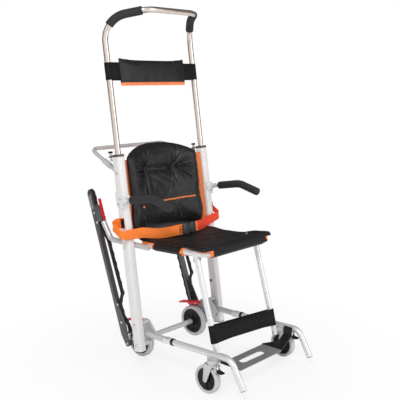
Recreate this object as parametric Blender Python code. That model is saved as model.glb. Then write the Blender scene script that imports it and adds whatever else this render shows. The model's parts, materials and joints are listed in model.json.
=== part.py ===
"""Evacuation chair with a telescopic handle, a folding seat and base, and swing-out stair tracks.

Metres, +Z up, the sitter faces -Y and the sitter's left is +X. Every piece is modelled where it stands on the
floor; the whole chair is then centred over the origin.
"""

import math

import bmesh
import bpy
from mathutils import Matrix, Vector

# Fits shared by all pieces
GAP = 0.0003
PIN_GAP = 0.0003

# Posts: leaning aluminium extrusions
POST_LEAN = math.radians(8.15)
POST_WIDTH = 0.032
POST_DEPTH = 0.038
POST_CORNER = 0.008
POST_WALL = 0.0025
POST_FOOT = 0.061
POST_LENGTH = 0.714

# Telescopic handle: distances along the posts are measured from the floor
HANDLE_RADIUS = 0.0105
HANDLE_OVERLAP = 0.115
HANDLE_NECK = 1.268
HANDLE_REACH = 0.132
HANDLE_BAR_HALF = 0.118
HANDLE_RISE = 0.012
HANDLE_NECK_BEND = 0.090
HANDLE_CORNER_BEND = 0.060
GRIP_WALL = 0.0045
GRIP_BELOW_NECK = 0.0225
GRIP_LENGTH = 0.135
COLLAR_HEIGHT = 0.009

# Head strap and pad
STRAP_BELOW_NECK = 0.218
STRAP_HEIGHT = 0.062
WEBBING = 0.0022
PAD_HALF_WIDTH = 0.166
PAD_SHIFT = -0.013
PAD_BELOW_STRAP = 0.023
PAD_CORNER_HEIGHT = 0.101
PAD_TOP_DIP = 0.007
PAD_FRONT = 0.011
PAD_BACK = 0.004

# Handle release plungers
PLUNGER_REACH = 0.0215
PLUNGER_STEM = 0.0028
PLUNGER_CAP = 0.0085
PLUNGER_TRAVEL = 0.008

# Carry bail behind the posts
BAIL_RADIUS = 0.0075
BAIL_PIVOT_UP = 0.7166
BAIL_PIVOT_BACK = 0.0188
BAIL_LENGTH = 0.143
BAIL_RISE = 0.099
BAIL_BEND = 0.032
BAIL_SLEEVE_RADIUS = 0.0105
EAR_THICKNESS = 0.005

# Armrests
ARM_UP = 0.618
ARM_HINGE_FORWARD = 0.0190
ARM_OUTSET = 0.017
ARM_TUBE_RADIUS = 0.008
ARM_PAD_RADIUS = 0.0148
ARM_LENGTH = 0.222
ARM_ELBOW = 0.130
ARM_ELBOW_RISE = 0.022
ARM_TIP_DROP = 0.002
ARM_BEND = 0.085
ARM_TONGUE = 0.012
ARM_EAR = 0.0035
BRACKET_HEIGHT = 0.062
BRACKET_PLATE = 0.0035

# Folding linkage: seat, legs and base form a parallelogram
SEAT_PIVOT_Y = -0.004
SEAT_PIVOT_Z = 0.447
LINK_FORWARD = 0.218
LINK_DROP = 0.013
LEG_RUN = 0.096
LEG_DROP = 0.325
PIN_RADIUS = 0.0035

# Seat rails, seat frame and cover
RAIL_RADIUS = 0.010
RAIL_BACK = 0.195
RAIL_HOOK = 0.042
RAIL_HOOK_RISE = 0.062
RAIL_BEND = 0.030
SEAT_TUBE_RADIUS = 0.011
SEAT_HALF_WIDTH = 0.166
SEAT_TO_RAIL = 0.0067
SEAT_DEPTH = 0.268
SEAT_RISE = 0.012
SEAT_BEND = 0.052
SEAT_COVER_BACK = 0.080
SEAT_SLEEVE_END = 0.012
SEAT_COVER_WALL = 0.0050
SEAT_COVER_TOP = 0.0165
SEAT_COVER_LOW = 0.0040
SEAT_COVER_REAR = 0.0100
SEAT_BOLSTER = 0.065
SEAT_COVER_SAG = 0.014
SEAT_PAD = 0.024
SEAT_CUTOUT = 0.092
SEAT_CUTOUT_OUT = 0.045

# Legs and calf strap
LEG_RADIUS = 0.010
LEG_TOP_STUB = 0.0042
LEG_TO_BASE = 0.0097
CALF_STRAP_UP = 0.048
CALF_STRAP_HEIGHT = 0.062
CALF_STRAP_SLANT = 0.022
CLEVIS_EAR = 0.003

# Base: side tubes, footrest, caster mounts
BASE_RADIUS = 0.011
BASE_TONGUE = 0.009
BASE_STUB_BACK = 0.136
BASE_RUN = 0.303
BASE_RISE = 0.0105
FOOT_RUN = 0.053
FOOT_DROP = 0.092
FOOT_BEND = 0.040
TRAY_SHEET = 0.003
TRAY_HALF_WIDTH = 0.116
TRAY_BACK = 0.192
TRAY_FRONT = 0.283
TRAY_DROP = 0.068
TRAY_KNEE_DROP = 0.030
TRAY_SLOT_LENGTH = 0.100
TRAY_SLOT_WIDTH = 0.030

# Casters
CASTER_RADIUS = 0.050
CASTER_WIDTH = 0.024
CASTER_TYRE = 0.011
CASTER_FORWARD = 0.237
CASTER_OUTSET = 0.0215
CASTER_TRAIL = 0.018
CASTER_AXLE = 0.004
FORK_SHEET = 0.0025
FORK_GAP = 0.0025
CROWN_HEIGHT = 0.0045
BRAKE_DROP = 0.015
MOUNT_REACH = 0.008
MOUNT_CLEARANCE = 0.001

# Rear wheels and axle
WHEEL_RADIUS = 0.0625
WHEEL_WIDTH = 0.024
WHEEL_TYRE = 0.0125
WHEEL_BACK = 0.083
HUB_LENGTH = 0.033
AXLE_RADIUS = 0.006
AXLE_TUBE_RADIUS = 0.010
AXLE_PLATE = 0.005
AXLE_PLATE_GAP = 0.0035
PLATE_TO_BASE = 0.0097
PEDAL_LENGTH = 0.092
PEDAL_WIDTH = 0.026
PEDAL_SHEET = 0.004
PEDAL_PIVOT_Y = 0.062
PEDAL_PIVOT_Z = 0.143

# Stair tracks: measured from the track's pivot, along the arm and forward from the rear strand
TRACK_LEAN = math.radians(19.2)
TRACK_PIVOT_Y = 0.099
TRACK_PIVOT_Z = 0.058
TRACK_PIVOT_DEPTH = 0.026
TRACK_LENGTH = 0.602
TRACK_WIDTH = 0.0215
TRACK_CHEEK = 0.0045
BELT_THICKNESS = 0.0045
BELT_LUG = 0.0022
BELT_LUGS = 30
BELT_BOTTOM = 0.036
BELT_DEPTH = 0.027
BELT_BOW = 0.049
BELT_BOW_TOP = 0.400
BELT_BUMP = 0.055
BELT_BUMP_UP = 0.189
BELT_WAIST = 0.027
BELT_FLARE = 0.048
RAIL_DEPTH = 0.0190
RAIL_CLEARANCE = 0.0012
LATCH_HEIGHT = 0.066
LATCH_GAP = 0.0006
LEVER_SHEET = 0.005
LEVER_LENGTH = 0.096

# Back sling and cushion, between the posts
BACK_BOTTOM = 0.478
BACK_HEIGHT = 0.283
BACK_SAG = 0.060
SLING_SHEET = 0.0025
SLING_FORWARD = 0.006
CUSHION_HALF_WIDTH = 0.182
CUSHION_BOTTOM = 0.482
CUSHION_HEIGHT = 0.336
CUSHION_CROWN = 0.036
CUSHION_EDGE = 0.013
CUSHION_TOP_ROUND = 0.046
TUFT_HALF_SPACING = 0.073
TUFT_UP = 0.233
TUFT_DEPTH = 0.020

# Lap belt
BELT_OVER_SEAT = 0.0495
BELT_WIDTH = 0.038
BELT_DROOP = 0.013
BELT_RISE = 0.028
BELT_FORWARD = 0.078
BELT_SLACK = 0.026
BELT_LOOP_BEND = 0.018
BUCKLE_LENGTH = 0.066
BUCKLE_HEIGHT = 0.044
BUCKLE_THICKNESS = 0.012

# Places worked out from the sizes above
POST_X = SEAT_HALF_WIDTH + SEAT_TUBE_RADIUS + SEAT_TO_RAIL + 2 * RAIL_RADIUS + GAP + POST_WIDTH / 2
STRAP_BOTTOM = HANDLE_NECK - STRAP_BELOW_NECK
PAD_BOTTOM = STRAP_BOTTOM - PAD_BELOW_STRAP
GRIP_START = HANDLE_NECK - GRIP_BELOW_NECK
POST_INNER = POST_X - POST_WIDTH / 2
POST_OUTER = POST_X + POST_WIDTH / 2
POST_TOP = POST_FOOT + POST_LENGTH
RAIL_X = POST_INNER - GAP - RAIL_RADIUS
BASE_X = POST_INNER - GAP - BASE_RADIUS
LEG_HALF_SPACING = BASE_X - BASE_RADIUS - LEG_RADIUS - LEG_TO_BASE
ARM_X = POST_X + ARM_OUTSET
BAIL_X = POST_INNER - GAP - BAIL_RADIUS
SEAT_PIVOT = Vector((0, SEAT_PIVOT_Y, SEAT_PIVOT_Z))
BELT_UP = SEAT_PIVOT_Z + BELT_OVER_SEAT
LEG_TOP = SEAT_PIVOT + Vector((0, -LINK_FORWARD, -LINK_DROP))
BASE_PIVOT = SEAT_PIVOT + Vector((0, -LEG_RUN, -LEG_DROP))
LEG_FOOT = LEG_TOP + Vector((0, -LEG_RUN, -LEG_DROP))
LEG_LEAN = math.atan2(LEG_RUN, LEG_DROP)
LEG_LENGTH = math.hypot(LEG_RUN, LEG_DROP)
CASTER_X = BASE_X + CASTER_OUTSET
CASTER_Y = BASE_PIVOT.y - CASTER_FORWARD
MOUNT_FRONT = CASTER_Y - MOUNT_REACH
TRACK_PIVOT = Vector((0, TRACK_PIVOT_Y, TRACK_PIVOT_Z))
TRACK_BASE = TRACK_PIVOT + Matrix.Rotation(-TRACK_LEAN, 3, "X") @ Vector((0, TRACK_PIVOT_DEPTH, 0))
RAIL_END = Vector((0, SEAT_PIVOT_Y + RAIL_BACK + RAIL_HOOK, SEAT_PIVOT_Z + RAIL_HOOK_RISE))
RAIL_END_ON_TRACK = Matrix.Rotation(TRACK_LEAN, 3, "X") @ (RAIL_END - TRACK_BASE)
HOOK_TO_TRACK = math.atan2(RAIL_HOOK, RAIL_HOOK_RISE) - TRACK_LEAN
LATCH_UP = RAIL_END_ON_TRACK.z + RAIL_RADIUS * abs(math.sin(HOOK_TO_TRACK)) + LATCH_GAP
LATCH_DEPTH = -RAIL_END_ON_TRACK.y + RAIL_RADIUS * 0.5
TRACK_OUTER = POST_INNER - GAP
TRACK_INNER = TRACK_OUTER - TRACK_WIDTH
PLATE_OUT = BASE_X - BASE_RADIUS - PLATE_TO_BASE
PLATE_IN = PLATE_OUT - AXLE_PLATE
WHEEL_HALF_SPACING = PLATE_IN - AXLE_PLATE_GAP - HUB_LENGTH / 2

FINISHES = {
    "white_aluminium": ("#e9e7e4", 0.35, 0.3),
    "satin_steel": ("#c9b9a8", 0.28, 1.0),
    "grey_tube": ("#cfcfd0", 0.4, 0.4),
    "black_foam": ("#2c2c2e", 0.9, 0.0),
    "black_nylon": ("#232325", 0.85, 0.0),
    "orange_webbing": ("#f2702c", 0.8, 0.0),
    "black_plastic": ("#1f1f21", 0.5, 0.0),
    "grey_tyre": ("#c4c4c6", 0.75, 0.0),
    "grey_sheet": ("#8b8b8d", 0.45, 0.6),
    "silver_zinc": ("#d4d4d6", 0.25, 1.0),
    "red_plastic": ("#d5202f", 0.4, 0.0),
}


def make_materials():
    made = {}
    for name, (colour, roughness, metallic) in FINISHES.items():
        channels = [int(colour[i : i + 2], 16) / 255 for i in (1, 3, 5)]
        linear = [c / 12.92 if c <= 0.04045 else ((c + 0.055) / 1.055) ** 2.4 for c in channels]
        material = bpy.data.materials.new(name)
        material.use_nodes = True
        shader = material.node_tree.nodes["Principled BSDF"]
        shader.inputs["Base Color"].default_value = (*linear, 1.0)
        shader.inputs["Roughness"].default_value = roughness
        shader.inputs["Metallic"].default_value = metallic
        made[name] = material
    return made


def clear_scene():
    for obj in list(bpy.data.objects):
        bpy.data.objects.remove(obj, do_unlink=True)


def to_mesh(bm):
    """A closed, outward-facing mesh from a bmesh."""
    bmesh.ops.remove_doubles(bm, verts=bm.verts, dist=1e-6)
    bmesh.ops.delete(bm, geom=[e for e in bm.edges if not e.link_faces], context="EDGES")
    bmesh.ops.recalc_face_normals(bm, faces=bm.faces)
    mesh = bpy.data.meshes.new("solid")
    bm.to_mesh(mesh)
    bm.free()
    return mesh


def prism(outline, low, high, axis="Z"):
    """Extrudes an outline: (x, y) points along Z, or (y, z) points along X."""
    bm = bmesh.new()
    place = (lambda p: (p[0], p[1], low)) if axis == "Z" else (lambda p: (low, p[0], p[1]))
    face = bm.faces.new([bm.verts.new(place(p)) for p in outline])
    grown = bmesh.ops.extrude_face_region(bm, geom=[face])
    moved = [v for v in grown["geom"] if isinstance(v, bmesh.types.BMVert)]
    along = (0, 0, high - low) if axis == "Z" else (high - low, 0, 0)
    bmesh.ops.translate(bm, verts=moved, vec=along)
    return to_mesh(bm)


def block(low, high):
    corners = [(low[0], low[1]), (high[0], low[1]), (high[0], high[1]), (low[0], high[1])]
    return prism(corners, low[2], high[2])


def arc(centre, radius, start, end, steps):
    """Points along an arc, angles in degrees."""
    turns = [math.radians(start + (end - start) * i / steps) for i in range(steps + 1)]
    return [(centre[0] + radius * math.cos(t), centre[1] + radius * math.sin(t)) for t in turns]


def rounded_box(width, depth, corner, steps=3):
    points = []
    for sx, sy, start in ((1, 1, 0), (-1, 1, 90), (-1, -1, 180), (1, -1, 270)):
        centre = (sx * (width / 2 - corner), sy * (depth / 2 - corner))
        points += arc(centre, corner, start, start + 90, steps)
    return points


def lug(tip, root, tip_radius, root_radius, steps=4):
    """Outline of a strap with round ends about two points, wide at the root."""
    angle = math.degrees(math.atan2(tip[1] - root[1], tip[0] - root[0]))
    tip_round = arc(tip, tip_radius, angle - 90, angle + 90, steps)
    return tip_round + arc(root, root_radius, angle + 90, angle + 270, steps)


def rod(start, end, radius, sides=10):
    """A round bar between two points."""
    start, end = Vector(start), Vector(end)
    bm = bmesh.new()
    turn = (end - start).to_track_quat("Z", "Y").to_matrix().to_4x4()
    place = Matrix.Translation((start + end) / 2) @ turn
    bmesh.ops.create_cone(
        bm, cap_ends=True, segments=sides, radius1=radius, radius2=radius,
        depth=(end - start).length, matrix=place,
    )
    return to_mesh(bm)


def around(radius, sides):
    """Radius of a faceted bore that clears a round of the given radius at its flats."""
    return (radius + GAP) / math.cos(math.pi / sides)


def cross_rod(y, z, x_from, x_to, radius, sides=10):
    return rod((x_from, y, z), (x_to, y, z), radius, sides)


def turned(profile, centre, segments):
    """Turns a closed (x, radius) profile about the X axis through a centre."""
    bm = bmesh.new()
    loop = [bm.verts.new((x, 0, r)) for x, r in profile]
    edges = [bm.edges.new((a, b)) for a, b in zip(loop, loop[1:] + loop[:1])]
    bmesh.ops.spin(
        bm, geom=loop + edges, cent=(0, 0, 0), axis=(1, 0, 0), angle=2 * math.pi,
        steps=segments, use_merge=True,
    )
    bmesh.ops.translate(bm, verts=bm.verts, vec=centre)
    return to_mesh(bm)


def rounded_path(corners, radii, steps=5):
    """A polyline whose inner corners are replaced by arcs."""
    corners = [Vector(c) for c in corners]
    path = [corners[0]]
    for before, corner, after, radius in zip(corners, corners[1:], corners[2:], radii):
        u, w = (before - corner).normalized(), (after - corner).normalized()
        half = u.angle(w) / 2
        centre = corner + (u + w).normalized() * (radius / math.sin(half))
        start, end = corner + u * (radius / math.tan(half)), corner + w * (radius / math.tan(half))
        a, b = start - centre, end - centre
        sweep = a.angle(b)
        for i in range(steps + 1):
            t = i / steps
            mix = a * math.sin((1 - t) * sweep) + b * math.sin(t * sweep)
            path.append(centre + mix / math.sin(sweep))
    path.append(corners[-1])
    return path


def smooth_path(points, steps=5):
    """A smooth curve through points, as a polyline."""
    points = [Vector(p) for p in points]
    ends = [2 * points[0] - points[1]] + points + [2 * points[-1] - points[-2]]
    path = []
    for p0, p1, p2, p3 in zip(ends, ends[1:], ends[2:], ends[3:]):
        for i in range(steps):
            t = i / steps
            lead = 2 * p1 + (p2 - p0) * t + (2 * p0 - 5 * p1 + 4 * p2 - p3) * t**2
            path.append(0.5 * (lead + (3 * p1 - p0 - 3 * p2 + p3) * t**3))
    path.append(points[-1])
    return path


def path_part(path, start, length):
    """The stretch of a polyline that begins a given way along it."""
    part, run = [], 0.0
    for a, b in zip(path, path[1:]):
        step = (b - a).length
        for mark in (start, start + length):
            if run <= mark < run + step:
                part.append(a.lerp(b, (mark - run) / step))
        run += step
        if start < run < start + length:
            part.append(b)
    return part


def bar(path, radius, resolution=3):
    """A solid round tube along a polyline, from a curve with a bevel and filled caps."""
    curve = bpy.data.curves.new("bar", "CURVE")
    curve.dimensions = "3D"
    curve.bevel_depth = radius
    curve.bevel_resolution = resolution
    curve.use_fill_caps = True
    spline = curve.splines.new("POLY")
    spline.points.add(len(path) - 1)
    for point, place in zip(spline.points, path):
        point.co = (*place, 1.0)
    obj = bpy.data.objects.new("bar", curve)
    mesh = bake(obj)
    bm = bmesh.new()
    bm.from_mesh(mesh)
    bpy.data.meshes.remove(mesh)
    bpy.data.curves.remove(curve)
    return to_mesh(bm)


def bake(obj):
    """The evaluated mesh of an object that isn't kept."""
    bpy.context.scene.collection.objects.link(obj)
    mesh = bpy.data.meshes.new_from_object(obj.evaluated_get(bpy.context.evaluated_depsgraph_get()))
    bpy.data.objects.remove(obj, do_unlink=True)
    return mesh


def joined(base, others, operation="UNION"):
    """One solid from a base and others, by Boolean operations."""
    obj = bpy.data.objects.new("base", base)
    tools = []
    for other in others:
        tool = bpy.data.objects.new("tool", other)
        tool.hide_render = True
        tool.display_type = "WIRE"
        bpy.context.scene.collection.objects.link(tool)
        modifier = obj.modifiers.new("join", "BOOLEAN")
        modifier.operation = operation
        modifier.solver = "EXACT"
        modifier.object = tool
        tools.append(tool)
    mesh = bake(obj)
    for tool in tools:
        bpy.data.objects.remove(tool, do_unlink=True)
    bm = bmesh.new()
    bm.from_mesh(mesh)
    bpy.data.meshes.remove(mesh)
    bmesh.ops.dissolve_degenerate(bm, edges=bm.edges, dist=1e-6)
    return to_mesh(bm)


def carved(base, cutters):
    return joined(base, cutters, "DIFFERENCE")


def tilted(mesh, lean, origin=(0, 0, 0)):
    """Leans a mesh back about the X axis and moves it to an origin."""
    mesh.transform(Matrix.Translation(origin) @ Matrix.Rotation(-lean, 4, "X"))
    return mesh


def leaned(mesh):
    """From the posts' own frame, with distance along the posts as height, to the chair's."""
    return tilted(mesh, POST_LEAN)


def on_post(x, y, up):
    return Matrix.Rotation(-POST_LEAN, 4, "X") @ Vector((x, y, up))


def mirrored(mesh):
    other = mesh.copy()
    other.transform(Matrix.Scale(-1, 4, (1, 0, 0)))
    other.flip_normals()
    return other


def joint(name, place, parent=None):
    """An empty on a joint's axis, which carries the pieces of one moving body."""
    empty = bpy.data.objects.new(name, None)
    empty.empty_display_size = 0.03
    bpy.context.scene.collection.objects.link(empty)
    empty["place"] = list(place)
    empty.parent = parent
    empty.location = Vector(place) - (Vector(parent["place"]) if parent else Vector())
    return empty


def piece(name, mesh, finish, carrier):
    """A named sub-part on the empty that carries it."""
    mesh.name = name
    mesh.transform(Matrix.Translation(-Vector(carrier["place"])))
    mesh.materials.clear()
    mesh.materials.append(MATERIALS[finish])
    mesh.shade_smooth()
    mesh.set_sharp_from_angle(angle=math.radians(35))
    obj = bpy.data.objects.new(name, mesh)
    bpy.context.scene.collection.objects.link(obj)
    obj.parent = carrier
    return obj


def pair(name, mesh, finish, carriers):
    """Left and right copies of a piece that was modelled on the left."""
    other = mirrored(mesh)
    for side, shape, carrier in zip(("left", "right"), (mesh, other), carriers):
        piece(f"{side}_{name}", shape, finish, carrier)


def joint_pair(name, place, parents):
    x, y, z = place
    return [
        joint(f"{side}_{name}", (sign * x, y, z), parent)
        for side, sign, parent in zip(("left", "right"), (1, -1), parents)
    ]


def ring_solid(outer, inner, low, high):
    """A closed band between two outlines of (y, z) points, spanning X."""
    bm = bmesh.new()
    rows = [
        [bm.verts.new((x, p[0], p[1])) for p in outline]
        for x, outline in ((low, outer), (high, outer), (high, inner), (low, inner))
    ]
    count = len(outer)
    for a, b in zip(rows, rows[1:] + rows[:1]):
        for i in range(count):
            j = (i + 1) % count
            bm.faces.new((a[i], a[j], b[j], b[i]))
    return to_mesh(bm)


def padded_solid(columns, rows, front, back):
    """A closed soft form between a front and a back surface, each a function of two shares from 0 to 1."""
    bm = bmesh.new()
    sides = [
        [[bm.verts.new(surface(i / columns, j / rows)) for j in range(rows + 1)] for i in range(columns + 1)]
        for surface in (front, back)
    ]
    for grid in sides:
        for i in range(columns):
            for j in range(rows):
                bm.faces.new((grid[i][j], grid[i + 1][j], grid[i + 1][j + 1], grid[i][j + 1]))
    rim = [(i, 0) for i in range(columns)] + [(columns, j) for j in range(rows)]
    rim += [(i, rows) for i in range(columns, 0, -1)] + [(0, j) for j in range(rows, 0, -1)]
    for (i, j), (k, m) in zip(rim, rim[1:] + rim[:1]):
        bm.faces.new((sides[0][i][j], sides[0][k][m], sides[1][k][m], sides[1][i][j]))
    return to_mesh(bm)


def webbing(path, height, thickness):
    """A flat strap on edge, swept along a path with its width upright."""
    bm = bmesh.new()
    rows = []
    for i, point in enumerate(path):
        ahead = path[min(i + 1, len(path) - 1)] - path[max(i - 1, 0)]
        across = Vector((ahead.y, -ahead.x, 0)).normalized() * (thickness / 2)
        up = Vector((0, 0, height / 2))
        corners = ((across, up), (across, -up), (-across, -up), (-across, up))
        rows.append([bm.verts.new(point + a + b) for a, b in corners])
    for a, b in zip(rows, rows[1:]):
        for i in range(4):
            j = (i + 1) % 4
            bm.faces.new((a[i], a[j], b[j], b[i]))
    bm.faces.new(rows[0])
    bm.faces.new(rows[-1])
    return to_mesh(bm)


def strap_loop(half_spacing, radius, low, high):
    """A webbing loop round two parallel tubes."""

    def stadium(r):
        return arc((half_spacing, 0), r, -90, 90, 8) + arc((-half_spacing, 0), r, 90, 270, 8)

    inner = prism(stadium(radius + GAP), low - 0.01, high + 0.01)
    return carved(prism(stadium(radius + GAP + WEBBING), low, high), [inner])


def build_posts(frame):
    outer = rounded_box(POST_WIDTH, POST_DEPTH, POST_CORNER)
    inner = rounded_box(POST_WIDTH - 2 * POST_WALL, POST_DEPTH - 2 * POST_WALL, POST_CORNER - POST_WALL)
    shift = Matrix.Translation((POST_X, 0, 0))
    shell = prism(outer, POST_FOOT, POST_TOP)
    bore = prism(inner, POST_FOOT - 0.01, POST_TOP + 0.01)
    for mesh in (shell, bore):
        mesh.transform(shift)
    pivot = (POST_DEPTH / 2 + BAIL_PIVOT_BACK, BAIL_PIVOT_UP)
    root = (POST_DEPTH / 2 - POST_CORNER, BAIL_PIVOT_UP)
    ear = prism(lug(pivot, root, 0.009, 0.014), POST_INNER, POST_INNER + EAR_THICKNESS, "X")
    hole = cross_rod(*pivot, POST_INNER - 0.01, POST_INNER + EAR_THICKNESS + 0.01, PIN_RADIUS + PIN_GAP)
    pair("post", leaned(carved(joined(shell, [ear]), [bore, hole])), "white_aluminium", (frame, frame))


def build_collars(frame):
    """Guide collar on each post top, with the ear that the release plunger slides in."""
    low = POST_TOP + GAP
    ring = prism(rounded_box(POST_WIDTH, POST_DEPTH, POST_CORNER), low, low + COLLAR_HEIGHT)
    reach = POST_DEPTH / 2 + PLUNGER_REACH
    ear = prism(
        [(-0.009, 0.012), (0.009, 0.012)] + arc((0, reach), 0.009, 0, 180, 8), low, low + COLLAR_HEIGHT * 0.6
    )
    bore = rod((0, 0, low - 0.01), (0, 0, low + 0.03), HANDLE_RADIUS + GAP, 16)
    hole = rod((0, reach, low - 0.01), (0, reach, low + 0.03), PLUNGER_STEM + PIN_GAP, 10)
    collar = carved(joined(ring, [ear]), [bore, hole])
    collar.transform(Matrix.Translation((POST_X, 0, 0)))
    pair("post_collar", leaned(collar), "black_plastic", (frame, frame))


def build_plungers(frame):
    reach = POST_DEPTH / 2 + PLUNGER_REACH
    ear_bottom = POST_TOP + GAP
    ear_top = ear_bottom + COLLAR_HEIGHT * 0.6
    stop_top = ear_bottom - PLUNGER_TRAVEL - GAP
    cap_low = ear_top + GAP
    profile = [
        (stop_top - 0.005, 0.0), (stop_top - 0.005, 0.0045), (stop_top, 0.0045), (stop_top, PLUNGER_STEM),
        (cap_low, PLUNGER_STEM), (cap_low, 0.0045), (cap_low + 0.009, 0.0045), (cap_low + 0.009, PLUNGER_CAP),
        (cap_low + 0.015, PLUNGER_CAP), (cap_low + 0.017, PLUNGER_CAP * 0.7), (cap_low + 0.017, 0.0),
    ]
    plunger = turned(profile, (0, 0, 0), 10)
    plunger.transform(Matrix.Translation((POST_X, reach, 0)) @ Matrix.Rotation(-math.pi / 2, 4, "Y"))
    places = joint_pair("plunger_axis", on_post(POST_X, reach, ear_top), (frame, frame))
    pair("plunger", leaned(plunger), "black_plastic", places)


def handle_path():
    side = [
        (POST_X, 0, POST_TOP - HANDLE_OVERLAP),
        (POST_X, 0, HANDLE_NECK),
        (HANDLE_BAR_HALF, -HANDLE_REACH, HANDLE_NECK + HANDLE_RISE),
    ]
    corners = side + [(-a, b, c) for a, b, c in reversed(side)]
    bends = [HANDLE_NECK_BEND, HANDLE_CORNER_BEND]
    return rounded_path(corners, bends + bends[::-1], 6)


def build_handle(frame):
    body = joint("handle_axis", on_post(0, 0, POST_TOP), frame)
    path = handle_path()
    piece("handle_tube", leaned(bar(path, HANDLE_RADIUS)), "satin_steel", body)
    start = GRIP_START - (POST_TOP - HANDLE_OVERLAP)
    core = bar(path_part(path, start - 0.02, GRIP_LENGTH + 0.04), HANDLE_RADIUS + GAP)
    sleeve = bar(path_part(path, start, GRIP_LENGTH), HANDLE_RADIUS + GAP + GRIP_WALL)
    pair("grip", leaned(carved(sleeve, [core])), "black_foam", (body, body))
    strap_top = STRAP_BOTTOM + STRAP_HEIGHT
    strap = strap_loop(POST_X, HANDLE_RADIUS, STRAP_BOTTOM, strap_top)
    piece("head_strap", leaned(strap), "black_nylon", body)
    build_head_pad(body)
    return body


def build_head_pad(body):
    """A padded sleeve on the strap's front strand, with a dipped top edge and pointed corners."""
    strap_back = -(HANDLE_RADIUS + GAP)
    strap_front = strap_back - WEBBING

    def place(across, up):
        x = PAD_SHIFT + (2 * across - 1) * PAD_HALF_WIDTH
        top = PAD_CORNER_HEIGHT - PAD_TOP_DIP * (1 - (2 * across - 1) ** 4)
        return x, PAD_BOTTOM + up * top

    def swell(across, up):
        return (max(0.0, 1 - (2 * across - 1) ** 6) * max(0.0, 1 - (2 * up - 1) ** 4)) ** 0.5

    def front(across, up):
        x, z = place(across, up)
        return x, strap_front - GAP - 0.003 - (PAD_FRONT - 0.003) * swell(across, up), z

    def back(across, up):
        x, z = place(across, up)
        return x, strap_back + GAP + 0.002 + (PAD_BACK - 0.002) * swell(across, up), z

    low, high = STRAP_BOTTOM - GAP, STRAP_BOTTOM + STRAP_HEIGHT + GAP
    slot = block((-0.3, strap_front - GAP, low), (0.3, strap_back + GAP, high))
    piece("head_pad", leaned(carved(padded_solid(14, 6, front, back), [slot])), "black_nylon", body)


def build_bail(frame):
    """The carry bail tips up between the handle's uprights; its locking sleeves ride on the arms."""
    pivot = Vector((BAIL_X, POST_DEPTH / 2 + BAIL_PIVOT_BACK, BAIL_PIVOT_UP))
    corner = pivot + Vector((0, BAIL_LENGTH, BAIL_RISE))
    flip = Vector((-1, 1, 1))
    along = (corner - pivot).normalized()
    heel = pivot - along * BAIL_RADIUS
    path = rounded_path([heel, corner, corner * flip, heel * flip], [BAIL_BEND, BAIL_BEND])
    extras = []
    for sign in (1, -1):
        side = Vector((sign, 1, 1))
        extras.append(rod((pivot + along * 0.048) * side, (pivot + along * 0.090) * side, BAIL_SLEEVE_RADIUS))
        pin_end = POST_INNER + EAR_THICKNESS + 0.002
        extras.append(cross_rod(pivot.y, pivot.z, sign * BAIL_X, sign * pin_end, PIN_RADIUS))
    body = joint("bail_axis", on_post(0, pivot.y, pivot.z), frame)
    piece("rear_bail", leaned(joined(bar(path, BAIL_RADIUS), extras)), "grey_tube", body)


def build_arms(frame):
    """Armrest brackets saddle the posts; the arms fold up on a pin in front."""
    hinge = Vector((ARM_X, -(POST_DEPTH / 2 + ARM_HINGE_FORWARD), ARM_UP))
    reach = ARM_TONGUE / 2 + GAP
    outer = POST_OUTER + GAP
    face = -(POST_DEPTH / 2 + GAP)
    low, high = ARM_UP - BRACKET_HEIGHT / 2, ARM_UP + BRACKET_HEIGHT / 2
    side = prism(
        [(face - BRACKET_PLATE, low), (POST_DEPTH / 2 - 0.004, low + 0.012), (POST_DEPTH / 2, high),
         (POST_DEPTH / 2 - 0.012, high), (face - BRACKET_PLATE, high - 0.020)],
        outer, outer + BRACKET_PLATE, "X",
    )
    front_low, front_high = ARM_UP - 0.014, ARM_UP + 0.016
    front_corner = (POST_INNER + 0.004, face - BRACKET_PLATE, front_low)
    front = block(front_corner, (outer + BRACKET_PLATE, face, front_high))
    root = face - 0.001
    ear = [(root, ARM_UP + 0.011)] + arc((hinge.y, hinge.z), 0.0085, 90, 270, 6) + [(root, ARM_UP - 0.011)]
    ears = [prism(ear, x, x + ARM_EAR, "X") for x in (ARM_X + reach, ARM_X - reach - ARM_EAR)]
    pin_half = reach + ARM_EAR + 0.001
    pin = cross_rod(hinge.y, hinge.z, ARM_X - pin_half, ARM_X + pin_half, PIN_RADIUS)
    bracket = joined(side, [front, *ears, pin])
    pair("arm_bracket", leaned(bracket), "grey_tube", (frame, frame))

    centre = on_post(*hinge)
    elbow = centre + Vector((0, -ARM_ELBOW, ARM_ELBOW_RISE))
    tip = centre + Vector((0, -ARM_LENGTH, -ARM_TIP_DROP))
    path = rounded_path([centre + Vector((0, -0.006, 0.001)), elbow, tip], [ARM_BEND])
    hub = cross_rod(centre.y, centre.z, ARM_X - ARM_TONGUE / 2, ARM_X + ARM_TONGUE / 2, 0.0085, 14)
    hole = cross_rod(centre.y, centre.z, ARM_X - 0.02, ARM_X + 0.02, PIN_RADIUS + PIN_GAP)
    waist = 0.0125
    run = sum((b - a).length for a, b in zip(path, path[1:]))
    tube = bar(path_part(path, waist, run - waist - 0.012), ARM_TUBE_RADIUS)
    neck = bar(path_part(path, 0.0, waist + 0.01), ARM_TONGUE / 2 * 0.95)
    arm = carved(joined(tube, [hub, neck]), [hole])
    bodies = joint_pair("arm_axis", centre, (frame, frame))
    pair("arm_tube", arm, "grey_tube", bodies)

    pad_path = path_part(path, 0.0185, run - 0.0185 - 0.0001)
    pad = bpy.data.objects.new("pad", bar(pad_path, ARM_PAD_RADIUS))
    core = bar(path_part(path, 0.0, run - 0.012 + GAP), around(ARM_TUBE_RADIUS, 10))
    rim = pad.modifiers.new("rounded ends", "BEVEL")
    rim.width = 0.0035
    rim.segments = 2
    rim.limit_method = "ANGLE"
    rim.angle_limit = math.radians(60)
    pair("arm_pad", carved(bake(pad), [core]), "black_foam", bodies)


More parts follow.
